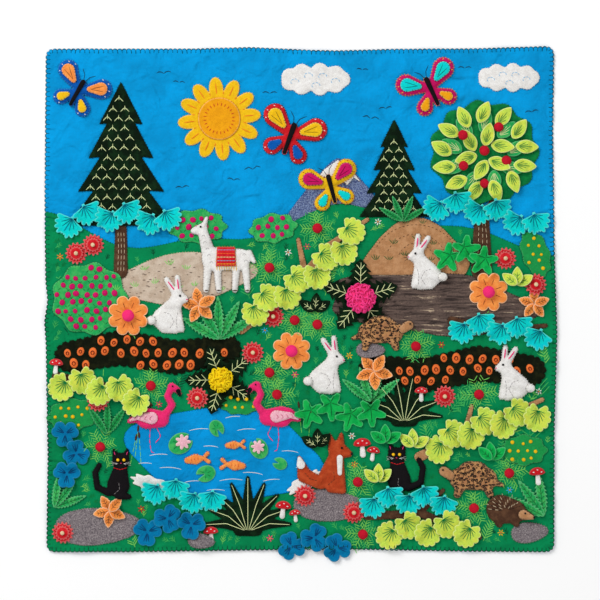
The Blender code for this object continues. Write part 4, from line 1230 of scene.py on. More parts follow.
def leaf_lift(centre, reach, turn, lift):
    """How far a leaf that is sewn at its middle stands off: most at its rim, in waves."""
    def height(points):
        rel = (points - centre) / reach
        away = np.hypot(rel[..., 0], rel[..., 1])
        wave = 1 + 0.45 * np.sin(3 * np.arctan2(rel[..., 1], rel[..., 0]) + turn)
        return lift * np.clip(away - 0.15, 0, 1.3) ** 1.5 * wave
    return height


def loose_leaf(outline, veins, x, y, turn, size, thread, lift=LEAF_LIFT, flip=1, radius=THREAD_RADIUS):
    """One leaf laid with its rim free, and its veins sewn through it."""
    ring = softened(placed(outline, x, y, turn, size, flip), 0.35 * MM)
    centre = np.array([x, y]) * CM
    reach = 0.5 * float(np.ptp(ring, axis=0).max())
    stand = leaf_lift(centre, reach, 3.7 * x + 2.1 * y, lift)
    laid = Laid(ring, LEAF_THICK, step=1.9 * MM, stiff=4, lift=stand)
    for vein in veins:
        sew(thread, placed(vein, x, y, turn, size, flip), radius)
    return laid


def garland(row):
    """A run of overlapping leaves, turned to either side by turns."""
    outline, veins = LEAVES[row.leaf]
    start, end = np.array([row.x, row.y]), np.array([row.to_x, row.to_y])
    length = np.linalg.norm(end - start)
    way = (end - start) / length
    heading = math.degrees(math.atan2(way[1], way[0]))
    gaps = round(length / LEAF_SPACING)
    laid = []
    for leaf in range(gaps + 1):
        share = leaf / gaps
        side = 1 if leaf % 2 else -1
        off = 4 * row.bow * share * (1 - share) + side * LEAF_STAGGER
        x, y = start + (end - start) * share + off * np.array([-way[1], way[0]])
        turn = heading + 180 + LEAF_LEAN * side + LEAF_TWIST * math.sin(3.1 * leaf + row.x)
        laid.append(loose_leaf(outline, veins, x, y, turn, row.size, row.thread))
    material = felt(row.colour, RIM_HIGHLIGHTS.get(row.colour, 0.7))
    piece = piece_of(row.name + "_sewn", laid, material, row.name)
    declare_sheet(laid)



def sprinkled(ring, spacing, margin, jitter=0.25):
    """Places inside an outline, about evenly apart, in metres."""
    places = lattice(ring, spacing, margin)
    return places + CHANCE.uniform(-jitter, jitter, places.shape) * spacing


def cut_group(
    name, rows, material, thread=None, puff=0.0, thick=FELT_THICK, step=2 * MM, reach=6 * MM,
    softness=0.45 * MM, stiff=3,
):
    """Pieces of one cloth, each cut to its outline and sewn at x, y, turn, size, flip."""
    laid = []
    for outline, x, y, turn, size, flip in rows:
        ring = softened(placed(outline, x, y, turn, size, flip), softness)
        laid.append(Laid(ring, thick, puff, reach, step, 0.2 * thick, stiff))
        if thread:
            whip(thread, ring)
    piece = piece_of(name, laid, material)
    if puff:
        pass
    else:
        declare_sheet(laid)
    return laid


def limbs(*rows):
    """The outline of some tapered limbs."""
    return joined([limb_outline(Limb(*row)) for row in rows])


def bare(x, y, reach=0.5):
    """Whether nothing but land cloth lies within reach of x, y in cm."""
    part = window(np.array([(x - reach, y - reach), (x + reach, y + reach)]) * CM, 0)
    return (TOP[part] - BARE_LAND[part]).max() < 0.15 * MM


def tuft(thread, x, y, size=1.0, blades=5):
    """Grass sewn with a few stitches that fan out, at x, y in cm."""
    for blade in range(blades):
        lean = math.radians(-42 + 84 * blade / (blades - 1) + CHANCE.uniform(-7, 7))
        reach = size * CHANCE.uniform(0.55, 0.95)
        foot = x + 0.10 * size * (blade - blades / 2)
        tip = (foot + reach * math.sin(lean), y + reach * math.cos(lean))
        sew(thread, np.array([(foot, y), tip]) * CM, 0.46 * MM)


def twig(thread, x, y, turn, size):
    """Small sewn twig: a stem with two pairs of leaf stitches."""
    for line in (
        [(0, -0.5), (0, 0.5)], [(0, -0.25), (-0.3, 0.15)], [(0, -0.25), (0.3, 0.15)],
        [(0, 0.05), (-0.26, 0.42)], [(0, 0.05), (0.26, 0.42)],
    ):
        sew(thread, placed(line, x, y, turn, size), 0.40 * MM, 6 * MM)


def small_flower(thread, middle, x, y, size=0.55, count=6):
    """Flower of single stitches round a knot."""
    start = CHANCE.uniform(0, math.tau)
    for petal in range(count):
        turn = start + petal * math.tau / count
        way = np.array([math.cos(turn), math.sin(turn)])
        sew(thread, (np.array([x, y]) + np.outer([0.26, 1.0], way) * size) * CM, 0.74 * MM)
    sew(middle, np.array([(x - 0.09, y), (x + 0.09, y)]) * CM, 0.95 * MM)


def open_ground(x, y):
    """Whether only land, or flat cloth on it, lies at x, y in cm."""
    rise = top_at([(x * CM, y * CM)])[0] - sampled(LAND_TOP, WHOLE, np.array([(x * CM, y * CM)]))[0]
    return rise < 2.4 * MM


def fern(thread, x, y, length, turn, bend=0.16, leaves=10):
    """Sewn frond on bare land: a bent stem with thick slanted stitches to both sides."""
    share = np.linspace(0, 1, int(3 * length))
    stem = np.stack([bend * length * share**2, length * share], 1)
    lines = [(stem[at : at + 2], 0.46 * MM) for at in range(len(stem) - 1)]
    for leaf in range(1, leaves + 1):
        here = leaf / (leaves + 0.6)
        foot = np.array([bend * length * here**2, length * here])
        reach = 0.27 * length * (1 - 0.72 * here)
        lines += [([foot, foot + [side * reach * 0.8, reach * 0.7]], 0.60 * MM) for side in (-1, 1)]
    for line, radius in lines:
        path = placed(line, x, y, turn)
        if all(bare(*(point / CM), 0.06) for point in path):
            sew(thread, path, radius, 6 * MM)


def berry_spray(x, y, fronds=11, reach=1.9):
    """Sewn fronds that spread from where a berry goes, and the land there marked as used."""
    for frond in range(fronds):
        turn = 22 + 360 * frond / fronds + CHANCE.uniform(-9, 9)
        thread = ("lime_dark", "bright_green")[frond % 2]
        size = reach * CHANCE.uniform(0.85, 1.1)
        lines = [[(0, 0.3), (0, size)]]
        for share in (0.30, 0.50, 0.70, 0.88):
            lines += [[(0, share * size), (side * 0.30 * size, (share + 0.24) * size)] for side in (-1, 1)]
        for line in lines:
            path = placed(line, x, y, turn)
            if all(open_ground(*(point / CM)) for point in path):
                sew(thread, path, 0.52 * MM, 6 * MM)
    part = window(np.array([(x - 1.35, y - 1.35), (x + 1.35, y + 1.35)]) * CM, 0)
    BARE_LAND[part] = -1.0


def bird(thread, x, y, size, turn=0.0):
    """A far bird: two curved stitches."""
    for side in (-1, 1):
        wing = [(0, 0), (side * 0.5, 0.34), (side * 1.0, 0.10)]
        sew(thread, placed(wing, x, y, turn, size), 0.46 * MM)


def node_surface(node):
    """Heights of a node's underside on the grid, rounded off."""
    points, faces, upward = node_faces(node)
    field = np.zeros(GRID_X.shape)
    for face, up in zip(faces, upward):
        corners = points[face]
        part = window(corners[:, :2], 1)
        x, y = GRID_X[part], GRID_Y[part]
        a, b, c = corners[:3]
        double = (b[0] - a[0]) * (c[1] - a[1]) - (c[0] - a[0]) * (b[1] - a[1])
        if up > -0.05 or abs(double) < 1e-12:
            continue
        share_b = ((x - a[0]) * (c[1] - a[1]) - (c[0] - a[0]) * (y - a[1])) / double
        share_c = ((b[0] - a[0]) * (y - a[1]) - (x - a[0]) * (b[1] - a[1])) / double
        inside = (share_b >= -0.01) & (share_c >= -0.01) & (share_b + share_c <= 1.01)
        height = a[2] + share_b * (b[2] - a[2]) + share_c * (c[2] - a[2])
        layer = field[part]
        layer[inside] = height[inside]
    for _ in range(14):
        for axis in (0, 1):
            field = (2 * field + np.roll(field, 1, axis) + np.roll(field, -1, axis)) / 4
    return field


def marked(ring, pitch, steps):
    """An outline in so many even steps for each stitch at that pitch."""
    closed = np.concatenate([ring, ring[:1]])
    run = np.concatenate([[0], np.cumsum(np.linalg.norm(np.diff(closed, axis=0), axis=1))])
    count = steps * round(run[-1] / pitch)
    at = np.arange(count) * run[-1] / count
    return np.stack([np.interp(at, run, closed[:, axis]) for axis in (0, 1)], 1)


def scalloped(ring, depth, pitch=BLANKET_PITCH, steps=EDGE_STEPS):
    """An outline drawn in at each stitch, so that it swells between them."""
    even = marked(ring, pitch, steps)
    beat = np.abs(np.cos(math.pi * np.arange(len(even)) / steps)) ** 6
    return even - normals_of(even) * (depth * beat)[:, None]


def up_to_edge(ring, rim, margin=5 * MM):
    """An outline whose sides and foot run along the ground cloth's own edge."""
    away, _ = edge_facts(ring, rim)
    free = away > margin
    first = int(np.flatnonzero(free & ~np.roll(free, 1))[0])
    skyline = np.roll(ring, -first, axis=0)[: int(free.sum())]
    start = int(np.linalg.norm(rim - skyline[-1], axis=1).argmin())
    end = int(np.linalg.norm(rim - skyline[0], axis=1).argmin())
    inset = rim - normals_of(rim) * 0.2 * MM
    side = np.roll(inset, -start, axis=0)[: (end - start) % len(rim)]
    return np.concatenate([skyline, side])


def blanket_stitch(ring, thick, thread_at):
    """Spokes in from each notch of the edge, joined by thread that follows the edge."""
    even = marked(ring, BLANKET_PITCH, EDGE_STEPS)
    out = normals_of(even)
    feet = even - out * (NOTCH_DEPTH - 0.25 * MM)
    share = np.linspace(0, 1, 5)[:, None]
    for index in range(0, len(even), EDGE_STEPS):
        after = (index + EDGE_STEPS) % len(even)
        thread = thread_at(even[index])
        reach = NOTCH_DEPTH + BLANKET_REACH * CHANCE.uniform(0.6, 0.9)
        lean = np.array([-out[index][1], out[index][0]]) * CHANCE.uniform(-0.9, 0.9) * MM
        sew(thread, [feet[index], even[index] - out[index] * reach + lean], 0.46 * MM, 1.6 * MM)
        path = feet[index] * (1 - share) + feet[after] * share
        middle = out[(index + EDGE_STEPS // 2) % len(even)]
        path = path + middle * (NOTCH_DEPTH + 0.05 * MM) * np.sin(math.pi * share) ** 0.6
        height = top_at(even[[index] * 5] - out[index] * 3.4 * MM) - 0.5 * thick
        STROKES.setdefault(thread, []).append((np.column_stack([path, height]), np.full(5, 0.55 * MM)))


studio()
SCATTER = scatter_tree()

# Ground cloth, mountain and land cloth
ground_edge = node_outline("ground_cloth", 0.9 * MM)
cloth_edge = scalloped(ground_edge, NOTCH_DEPTH)
ripples = 0.55 * MM * soft_noise(30 * MM, 3) + 0.30 * MM * soft_noise(12 * MM, 5)
TOP[:] = node_surface("ground_cloth") + np.maximum(0, ripples + 0.25 * MM)
ground = Laid(cloth_edge, GROUND_THICK, step=7.2 * MM, stiff=1)
sky_cotton = woven_cotton("sky_cotton", COLOUR["sky"])
piece = piece_of("ground_cloth_sewn", [ground], sky_cotton, "ground_cloth")
declare_sheet([ground])

mountain = Laid(node_outline("mountain_patch"), COTTON_THICK, step=3 * MM)
denim = printed("denim_speckle", "denim")
piece = piece_of("mountain_patch_sewn", [mountain], denim, "mountain_patch")
declare_sheet([mountain])
whip("blue", mountain.ring)
SNOW = [
    (1.9, 14.2), (2.8, 15.5), (4.5, 16.7), (6.1, 15.6), (7.2, 14.1), (6.4, 14.6), (5.6, 13.7),
    (4.7, 14.7), (3.8, 13.9), (2.9, 14.7),
]
cut_group("snow_cap", [(SNOW, 0, 0, 0, 1, 1)], felt("white"), "grey")

land = Laid(up_to_edge(node_outline("land_cloth", 2.2 * MM), cloth_edge), COTTON_THICK, step=7.2 * MM)
land_cotton = woven_cotton("land_cotton", COLOUR["land"])
piece = piece_of("land_cloth_sewn", [land], land_cotton, "land_cloth")
declare_sheet([land])
whip("green", land.ring, share=lambda point: point[1] > 0.02 and abs(point[0]) < 0.298)
BARE_LAND = np.where(inside_cells(land.ring, WHOLE), TOP, -1.0)
LAND_TOP = TOP.copy()

# Flat patches: node, material, slot, thread, thickness
RINGS = {}
PATCHES = (
    ("pond_cloth", woven_cotton("pond_cotton", COLOUR["pond"]), "pond_cotton", "pond_blue", COTTON_THICK),
    ("hill_patch", felt("tan", 0.2), "tan_fleece", "brown", FELT_THICK),
    ("bark_patch", printed("bark_print", "bark"), "bark_print", "black", COTTON_THICK),
    ("straw_patch", printed("straw_print", "straw"), "straw_print", "cream", COTTON_THICK),
    ("stone_left", printed("stone_fleece", "stone"), "grey_fleece", "grey", FELT_THICK),
    ("stone_middle", bpy.data.materials["stone_fleece"], "grey_fleece", "grey", FELT_THICK),
    ("tree_trunk", felt("brown", 0.2), "brown_felt", "brown", FELT_THICK),
    ("fir_trunk_left", felt("brown", 0.2), "brown_felt", "brown", FELT_THICK),
)
FELT_SHAPES = (
    ("sun", "yellow", "yellow_felt", "amber"),
    ("cloud_middle", "white", "white_fleece", "white"),
    ("cloud_right", "white", "white_fleece", "white"),
    ("fir_left", "dark_green", "dark_green_felt", "dark_green"),
    ("fir_right", "dark_green", "dark_green_felt", "dark_green"),
    ("tree_crown", "crown_green", "emerald_felt", "green"),
    ("hedge_left", "hedge_green", "dark_green_felt", "dark_green"),
    ("hedge_right", "hedge_green", "dark_green_felt", "dark_green"),
    ("rose_bush", "leaf_green", "bush_green", "green"),
    ("blades_left", "dark_green", "dark_green_felt", "dark_green"),
    ("blades_right", "dark_green", "dark_green_felt", "dark_green"),
)
for node, material, slot, thread, thick in PATCHES:
    laid = Laid(node_outline(node), thick, step=4.0 * MM, dents=0.35 * MM)
    RINGS[node] = laid.ring
    piece = piece_of(node + "_sewn", [laid], material, node)
    declare_sheet([laid])
    whip(thread, laid.ring)
for node, colour, slot, thread in FELT_SHAPES:
    nap, outline = 1.0, node_outline(node, 0.9 * MM)
    if node.startswith("hedge"):
        nap, outline = 1.7, scalloped(outline, 2.0 * MM, 9 * MM, 10)
    laid = Laid(outline, FELT_THICK, step=3.2 * MM, dents=0.4 * MM)
    RINGS[node] = laid.ring
    piece = piece_of(node + "_sewn", [laid], felt(colour, 0.45, nap), node)
    declare_sheet([laid])
    whip(thread, laid.ring)
HEDGE_TOP = float(np.median(top_at(RINGS["hedge_left"] - normals_of(RINGS["hedge_left"]) * 4 * MM)))

# Sun: a round middle and rays of stitches
cut_group("sun_middle", [(oval(2.5, 2.5), -9.6, 21.6, 0, 1, 1)], felt("amber"), "orange")
for ray in range(24):
    way = math.radians(6 + 15 * ray)
    reach = (2.9, 4.2) if ray % 2 == 0 else (2.9, 3.4)
    spoke = [(r * math.cos(way), r * math.sin(way)) for r in reach]
    sew("orange", placed(spoke, -9.6, 21.6), 0.5 * MM)
    dot = [(r * math.cos(way), r * math.sin(way)) for r in (1.5, 1.9)]
    sew("red", placed(dot, -9.6, 21.6), 0.45 * MM)

# Clouds: curls of blue thread
for cloud_x, cloud_y, wide in ((1.8, 26.3, 1.0), (24.8, 26.5, 0.88)):
    for curl_x, curl_y in ((-2.4, -0.3), (-0.8, 0.4), (0.9, 0.35), (2.4, -0.25), (0.1, -0.75)):
        turn = np.radians(np.linspace(-20, 230, 9))
        curl = np.stack([curl_x + 0.5 * np.cos(turn), curl_y + 0.34 * np.sin(turn)], 1)
        backstitch("sky", placed(curl, cloud_x, cloud_y, 0, wide), 4 * MM, 0.34 * MM)

# Far birds
for row in (
    (-5.6, 15.6, 1.0, 8), (-7.9, 14.3, 0.8, -6), (-3.6, 24.6, 0.9, 0), (8.4, 21.6, 1.0, -8),
    (10.2, 22.8, 0.8, 6), (-16.2, 27.0, 0.9, 4), (-14.4, 25.9, 0.7, -5), (19.6, 27.6, 0.8, 0),
    (-14.0, 13.4, 0.8, 6), (7.4, 27.4, 0.7, -4), (27.6, 22.4, 0.8, 8),
):
    bird("black", *row)

# Firs: branches of pale stitches
for node, spacing, size in (("fir_left", 13.5 * MM, 0.52), ("fir_right", 11.5 * MM, 0.44)):
    for x, y in sprinkled(RINGS[node], spacing, 4.5 * MM, 0.06) / CM:
        for side in (-1, 1):
            sew("lime", placed([(0, 0.1), (side * size, -size * 0.8)], x, y), 0.48 * MM)
        sew("lime", placed([(0, 0.35), (0, -0.25)], x, y), 0.40 * MM)

# Hill, straw field and trunks
for row, reach in enumerate((5.0, 3.6, 2.2)):
    turn = np.radians(np.linspace(25, 155, 20))
    arc = np.stack([reach * 1.05 * np.cos(turn), (0.9 + reach * 0.78) * np.sin(turn)], 1)
    backstitch("brown", placed(arc, 13.8, 4.2), 5 * MM, 0.34 * MM, 0.4)
for x, y in sprinkled(RINGS["straw_patch"], 24 * MM, 6 * MM) / CM:
    tuft("lime_dark", x, y, 0.8, 4)
for x, y in sprinkled(RINGS["hill_patch"], 22 * MM, 6 * MM) / CM:
    tuft("green", x, y, 0.8, 4)
for way in ((0.0, -5.4, 0.0, 2.4), (-0.5, -5.0, -0.3, 1.0), (0.5, -5.2, 0.35, 0.8)):
    x, y, to_x, to_y = way
    backstitch("cream", placed([(x, y), (x + 0.12, (y + to_y) / 2), (to_x, to_y)], 21.6, 9.2), 7 * MM, 0.32 * MM, 0.3)
for x in (-0.35, 0.0, 0.35):
    backstitch("cream", placed([(x, -2.6), (x + 0.08, 0), (x, 2.2)], -21.3, 6.0), 7 * MM, 0.32 * MM, 0.3)

# Branches of tan and brown felt that run under the leaf garlands
BRANCHES = (
    ("branches_tan", "tan", "tan_fleece", "brown", (
        ((-7.0, -3.4, 0.62, -1.6, 0.8, 0.5), (-1.6, 0.8, 0.5, 3.6, 6.6, 0.42), (3.6, 6.6, 0.42, 8.0, 9.6, 0.24),
         (0.6, 3.2, 0.4, -0.2, 7.2, 0.24)),
        ((14.2, -18.6, 0.6, 21.0, -15.2, 0.5), (21.0, -15.2, 0.5, 28.8, -11.8, 0.26),
         (19.6, -15.9, 0.4, 20.4, -12.6, 0.24)),
    )),
    ("branches_brown", "brown", "brown_felt", "black", (
        ((18.0, -2.4, 0.5, 24.0, -3.6, 0.45), (24.0, -3.6, 0.45, 29.2, -3.0, 0.25)),
        ((-29.0, -9.0, 0.5, -23.4, -10.2, 0.5), (-23.4, -10.2, 0.5, -17.8, -12.4, 0.25)),
        ((8.0, -25.6, 0.5, 14.6, -25.4, 0.5), (14.6, -25.4, 0.5, 21.4, -28.2, 0.25),
         (14.0, -25.4, 0.4, 17.0, -22.6, 0.24)),
    )),
)
for name, colour, slot, thread, branches in BRANCHES:
    rows = [(limbs(*branch), 0, 0, 0, 1, 1) for branch in branches]
    cut_group(name, rows, felt(colour, 0.3), thread, step=2.6 * MM)
cut_group(
    "foam",
    [(oval(2.7, 0.95, 10, 0.10), -17.4, -22.0, -20, 1, 1), (oval(2.3, 0.85, 9, 0.10), 0.6, -21.6, 32, 1, 1)],
    felt("white"),
)

# Sewn ferns, then far bushes, fronds, pond life and leaf rosettes, all under the figures
for row in (
    ("bright_green", -17.6, -8.9, 4.4, 8), ("deep_green", -14.8, -10.8, 4.0, -20),
    ("bright_green", 5.2, 1.8, 4.8, 24), ("lime_dark", 0.2, 3.0, 4.8, -28), ("deep_green", -27.6, -4.2, 3.4, -10),
    ("bright_green", 27.4, -17.6, 7.6, 4), ("lime_dark", 24.6, -16.4, 6.4, -24), ("deep_green", 29.0, -12.4, 4.6, 12),
    ("bright_green", -6.0, 0.2, 4.2, 14), ("lime_dark", 21.8, -28.6, 3.8, -20), ("bright_green", 24.2, -20.0, 4.0, 10),
    ("lime_dark", -23.4, -9.0, 3.6, 0), ("bright_green", 1.8, -3.6, 3.8, 12), ("lime_dark", -19.6, -29.4, 3.2, 20),
    ("bright_green", -28.6, -1.6, 4.4, 10), ("lime_dark", 18.4, -26.4, 4.6, 30), ("bright_green", -4.2, 3.0, 4.0, -8),
    ("lime_dark", 24.6, 8.4, 3.4, -30), ("bright_green", 6.6, -22.6, 4.0, 8), ("lime_dark", -25.4, -29.0, 4.4, 4),
    ("lime_dark", 3.0, 0.6, 4.0, -12), ("bright_green", 28.6, 6.4, 4.2, 4), ("bright_green", 17.6, -13.6, 4.6, -34),
    ("bright_green", 28.6, -12.0, 6.2, 6), ("lime_dark", 29.4, -8.6, 4.0, 14), ("bright_green", 15.4, -17.6, 4.4, 18),
):
    fern(*row)
bushes = cut_group(
    "bushes_far",
    [(oval(3.4, 2.0, 9, 0.07), -12.2, 8.8, 0, 1, 1), (oval(2.8, 1.7, 8, 0.07), -3.2, 8.6, 8, 1, 1)],
    felt("leaf_green"), "green",
)
low_bushes = cut_group(
    "bushes_low",
    [
        (oval(3.0, 1.9, 8, 0.07), -27.0, -13.6, 8, 1, 1), (oval(3.2, 1.8, 9, 0.06), 28.0, 5.6, -70, 0.9, 1),
        (oval(2.7, 1.8, 8, 0.07), 26.6, -17.8, 0, 1, 1), (oval(3.2, 1.7, 9, 0.06), -6.9, -12.2, 4, 0.8, 1),
    ],
    felt("grass"), "green",
)
PAD = np.array([
    (math.cos(turn), 0.82 * math.sin(turn)) for turn in np.radians(np.linspace(18, 342, 60))
] + [(0.12, 0.0)])
cut_group(
    "lily_pads",
    [
        (PAD, -14.2, -17.0, 30, 1.5, 1), (PAD, -11.2, -20.6, 200, 1.2, 1), (PAD, -4.9, -17.6, 120, 1.3, 1),
        (PAD, -9.9, -15.2, -60, 1.05, 1), (PAD, -2.4, -19.4, 160, 0.9, 1),
    ],
    felt("leaf_green", 0.8),
)
for x, y, turn, size in ((-14.2, -17.0, 30, 1.5), (-11.2, -20.6, 200, 1.2), (-4.9, -17.6, 120, 1.3), (-9.9, -15.2, -60, 1.05)):
    for vein in (70, 130, 190, 250, 310):
        way = math.radians(vein)
        ray = [(0.15 * math.cos(way), 0.15 * math.sin(way)), (0.72 * math.cos(way), 0.6 * math.sin(way))]
        sew("green", placed(ray, x, y, turn, size), 0.30 * MM)
LILY = petals(1.0, 7, 0.5, 0.9)
cut_group(
    "lily_flowers",
    [(LILY, -13.9, -16.8, 0, 0.95, 1), (LILY, -5.0, -17.4, 20, 0.85, 1)],
    felt("pale_pink", 0.8), None, 0.8 * MM, step=1.5 * MM,
)
FISH = limbs((-0.8, 0, 0.36, 0.2, 0, 0.62), (0.2, 0, 0.62, 1.1, 0, 0.2), (1.1, 0, 0.18, 1.7, 0.5, 0.24), (1.1, 0, 0.18, 1.7, -0.5, 0.24))
FISHES = ((-12.6, -18.9, 8, 1.0, 1), (-7.6, -19.6, -6, 1.0, -1), (-8.0, -17.2, 4, 0.8, 1))
cut_group("fishes", [(FISH, *row) for row in FISHES], felt("orange", 0.3), "red", 1.6 * MM, step=1.5 * MM)
for x, y, turn, size, flip in FISHES:
    for at in (-0.2, 0.2, 0.6):
        sew("red", placed([(at, 0.34), (at - 0.12, 0), (at, -0.34)], x, y, turn, size, flip), 0.28 * MM)
for x, y, reach, tilt in (
    (-16.8, -18.4, 1.1, 3), (-15.4, -20.0, 1.3, -4), (-12.0, -15.4, 1.2, 5), (-8.2, -21.4, 1.4, 2),
    (-5.6, -20.6, 1.2, -6), (-10.6, -17.4, 0.9, -3), (-6.4, -15.4, 1.1, 4), (-10.0, -22.6, 1.1, 0),
    (-3.4, -21.4, 1.0, 6), (-1.2, -18.0, 1.0, -5), (-8.0, -13.9, 0.9, 6), (-13.0, -21.6, 1.0, 8),
    (-18.4, -19.4, 0.8, 0), (0.4, -20.0, 0.9, -10),
):
    share = np.linspace(-1, 1, 9)
    line = np.stack([reach * share, 0.12 * reach * (1 - share**2)], 1)
    sew("white", placed(line, x, y, tilt), 0.42 * MM, 3 * MM)
for x, y, lean in ((-19.6, -18.6, 6), (-18.9, -19.4, -4), (-20.2, -19.6, 12), (0.2, -15.8, -6), (1.0, -16.6, 5)):
    way = math.radians(lean)
    tip = (x + 3.0 * math.sin(way), y + 3.0 * math.cos(way))
    backstitch("lime_dark", np.array([(x, y), tip]) * CM, 7 * MM, 0.45 * MM)
    sew("brown", np.array([tip, (tip[0] + 0.8 * math.sin(way), tip[1] + 0.8 * math.cos(way))]) * CM, 1.25 * MM)

FROND = toothed_leaf(6.6, 1.9, 11, 0.42)
FROND_BUNCHES = (
    ("fronds_left", -9.6, -4.6, (-58, -28, 2, 30, 60), 0.78, "leaf_green"),
    ("fronds_middle", 8.4, -12.0, (-52, -18, 18, 52), 0.66, "leaf_green"),
    ("fronds_edge", 29.0, -25.6, (8, 36, 64), 0.80, "leaf_green"),
    ("fronds_pond", -22.9, -15.9, (-34, 0, 34), 0.60, "grass"),
    ("fronds_far", 12.2, 9.4, (-60, -22, 22, 60), 0.50, "grass"),
    ("fronds_corner", -29.2, -24.6, (-70, -38, -8), 0.62, "leaf_green"),
)
for name, x, y, turns, size, colour in FROND_BUNCHES:
    laid = []
    for turn in turns:
        veins = [[(0, 0.2), (0, 6.0)]]
        for up in np.arange(1.0, 5.6, 0.75):
            veins += [[(0, up), (side * (0.72 - 0.08 * up), up + 0.55)] for side in (-1, 1)]
        laid.append(loose_leaf(FROND, veins, x, y, turn, size, "green", 1.0 * MM, radius=0.32 * MM))
    piece = piece_of(name, laid, felt(colour, 0.7))
    declare_sheet(laid)

BROAD = toothed_leaf(4.3, 2.9, 6, 0.40)
BROAD_VEINS = [[(0, 1.3), (0, 2.6), (0.05, 3.9)]] + [
    [(0, up), (side * (1.0 - 0.16 * up), up + 0.62)] for up in (1.7, 2.4, 3.1) for side in (-1, 1)
]
for name, x, y, first, count, size in (
    ("rosette_yellow", -9.4, -9.4, 20, 5, 1.0), ("rosette_pink", 7.2, 0.3, 0, 5, 1.08),
):
    laid = [
        loose_leaf(BROAD, BROAD_VEINS, x, y, first + 360 * leaf / count, size, "lime", 0.9 * MM, radius=0.46 * MM)
        for leaf in range(count)
    ]
    piece = piece_of(name, laid, felt("dark_green", 0.8))
    declare_sheet(laid)

# Stems and leaves of the daisies and of the leafy orange flowers
for x, y, foot_x, foot_y in ((-20.4, -1.8, -19.6, -4.6), (22.4, 1.0, 21.8, -1.8), (-1.0, -6.0, -0.6, -10.4)):
    backstitch("lime_dark", np.array([(x, y - 2.2), ((x + foot_x) / 2 + 0.3, (y + foot_y) / 2 - 1), (foot_x, foot_y)]) * CM, 6 * MM, 0.5 * MM)
VEINED_PETAL = toothed_leaf(2.4, 1.5, 5, 0.16, True)
PETAL_VEINS = [[(0, 0.3), (0, 1.9)]] + [[(0, up), (side * 0.36, up + 0.34)] for up in (0.7, 1.1, 1.5) for side in (-1, 1)]
for name, x, y, first, size in (
    ("veined_flower_left", -12.0, -0.6, 10, 0.92), ("veined_flower_middle", 8.8, -8.4, 40, 0.95),
    ("veined_flower_right", 27.8, -0.4, 0, 0.80), ("veined_flower_low", -22.6, -25.0, 30, 0.85),
):
    laid = [
        loose_leaf(VEINED_PETAL, PETAL_VEINS, x, y, first + 72 * petal, size, "brown", 0.7 * MM, radius=0.28 * MM)
        for petal in range(5)
    ]
    piece = piece_of(name, laid, felt("orange", 0.8))
    declare_sheet(laid)

# Tree crown: loose leaves and berries
CROWN_LEAF = toothed_leaf(3.3, 1.9, 1, 0.0)
LEAF_VEINS = [
    [(0.1 * lean, 0.5), (0.62 * lean, 0.5 + reach)]
    for lean, reach in ((0, 1.9), (-0.5, 1.5), (0.5, 1.5), (-0.95, 1.0), (0.95, 1.0))
]
for name, colour, thread, slot, rings in (
    ("crown_leaves_green", "leaf_green", "lime", "bush_green", ((3.9, 9, 8),)),
    ("crown_leaves_lime", "lime", "leaf_vein", "lime_felt", ((5.1, 13, 8), (2.3, 6, 20))),
):
    laid = []
    for out, count, start in rings:
        for leaf in range(count):
            turn = start + 360 * leaf / count
            way = math.radians(turn)
            x, y = 21.9 + out * math.cos(way), 17.6 + 0.93 * out * math.sin(way)
            lean = turn - 90 + CHANCE.uniform(-28, 28)
            foot = np.array([x, y]) - 1.4 * np.array([-math.sin(math.radians(lean)), math.cos(math.radians(lean))])
            laid.append(loose_leaf(CROWN_LEAF, LEAF_VEINS, *foot, lean, 0.86, thread, 1.2 * MM, radius=0.38 * MM))
    piece = piece_of(name, laid, felt(colour, 0.8))
    declare_sheet(laid)
balls(
    "berries",
    [(21.9, 17.8, 0.6), (19.4, 16.0, 0.58), (24.5, 16.6, 0.6), (23.6, 20.6, 0.58), (19.3, 19.6, 0.6), (21.9, 13.9, 0.56)],
    felt("berry", 0.0), sides=16, rings=10,
)

# Buds on the hedges and the rose bush
hedge_buds = []
for node in ("hedge_left", "hedge_right"):
    for x, y in sprinkled(RINGS[node], 15.6 * MM, 5.8 * MM, 0.13) / CM:
        if top_at([(x * CM, y * CM)])[0] < HEDGE_TOP + 1.5 * MM:
            hedge_buds.append((x, y, CHANCE.uniform(0.9, 2.2), CHANCE.uniform(0.85, 1.1)))
buds("hedge_buds", hedge_buds, 11.8 * MM, 9.2 * MM, 3.0 * MM, felt("bud_orange", 0.0), "orange_felt")
TEAR = [(-0.26, 0.0), (-0.05, 0.17), (0.14, 0.10), (0.16, -0.06), (-0.02, -0.16), (-0.26, 0.0)]
for x, y, turn, size in hedge_buds:
    sew("ember", placed(TEAR, x, y, math.degrees(turn), 1.25 * size), 0.62 * MM, 1.8 * MM)
rose_buds = []
for ring in [RINGS["rose_bush"]] + [one.ring for one in bushes]:
    for x, y in sprinkled(ring, 11.4 * MM, 4.2 * MM, 0.13) / CM:
        rose_buds.append((x, y, CHANCE.uniform(0, 3.1), CHANCE.uniform(0.8, 1.1)))
buds("rose_buds", rose_buds, 7.3 * MM, 6.6 * MM, 2.8 * MM, felt("magenta", 0.0), "magenta_felt")
for x, y, turn, size in rose_buds:
    for side in (-1, 1):
        sew("green", placed([(side * 0.30, -0.30), (side * 0.62, -0.62)], x, y), 0.32 * MM)
white_buds = []
for one in low_bushes:
    for x, y in sprinkled(one.ring, 11 * MM, 4 * MM, 0.15) / CM:
        white_buds.append((x, y, 0.0, CHANCE.uniform(0.8, 1.1)))
buds("bush_buds", white_buds, 4.4 * MM, 4.4 * MM, 2.4 * MM, felt("yellow", 0.0), "yellow_felt")

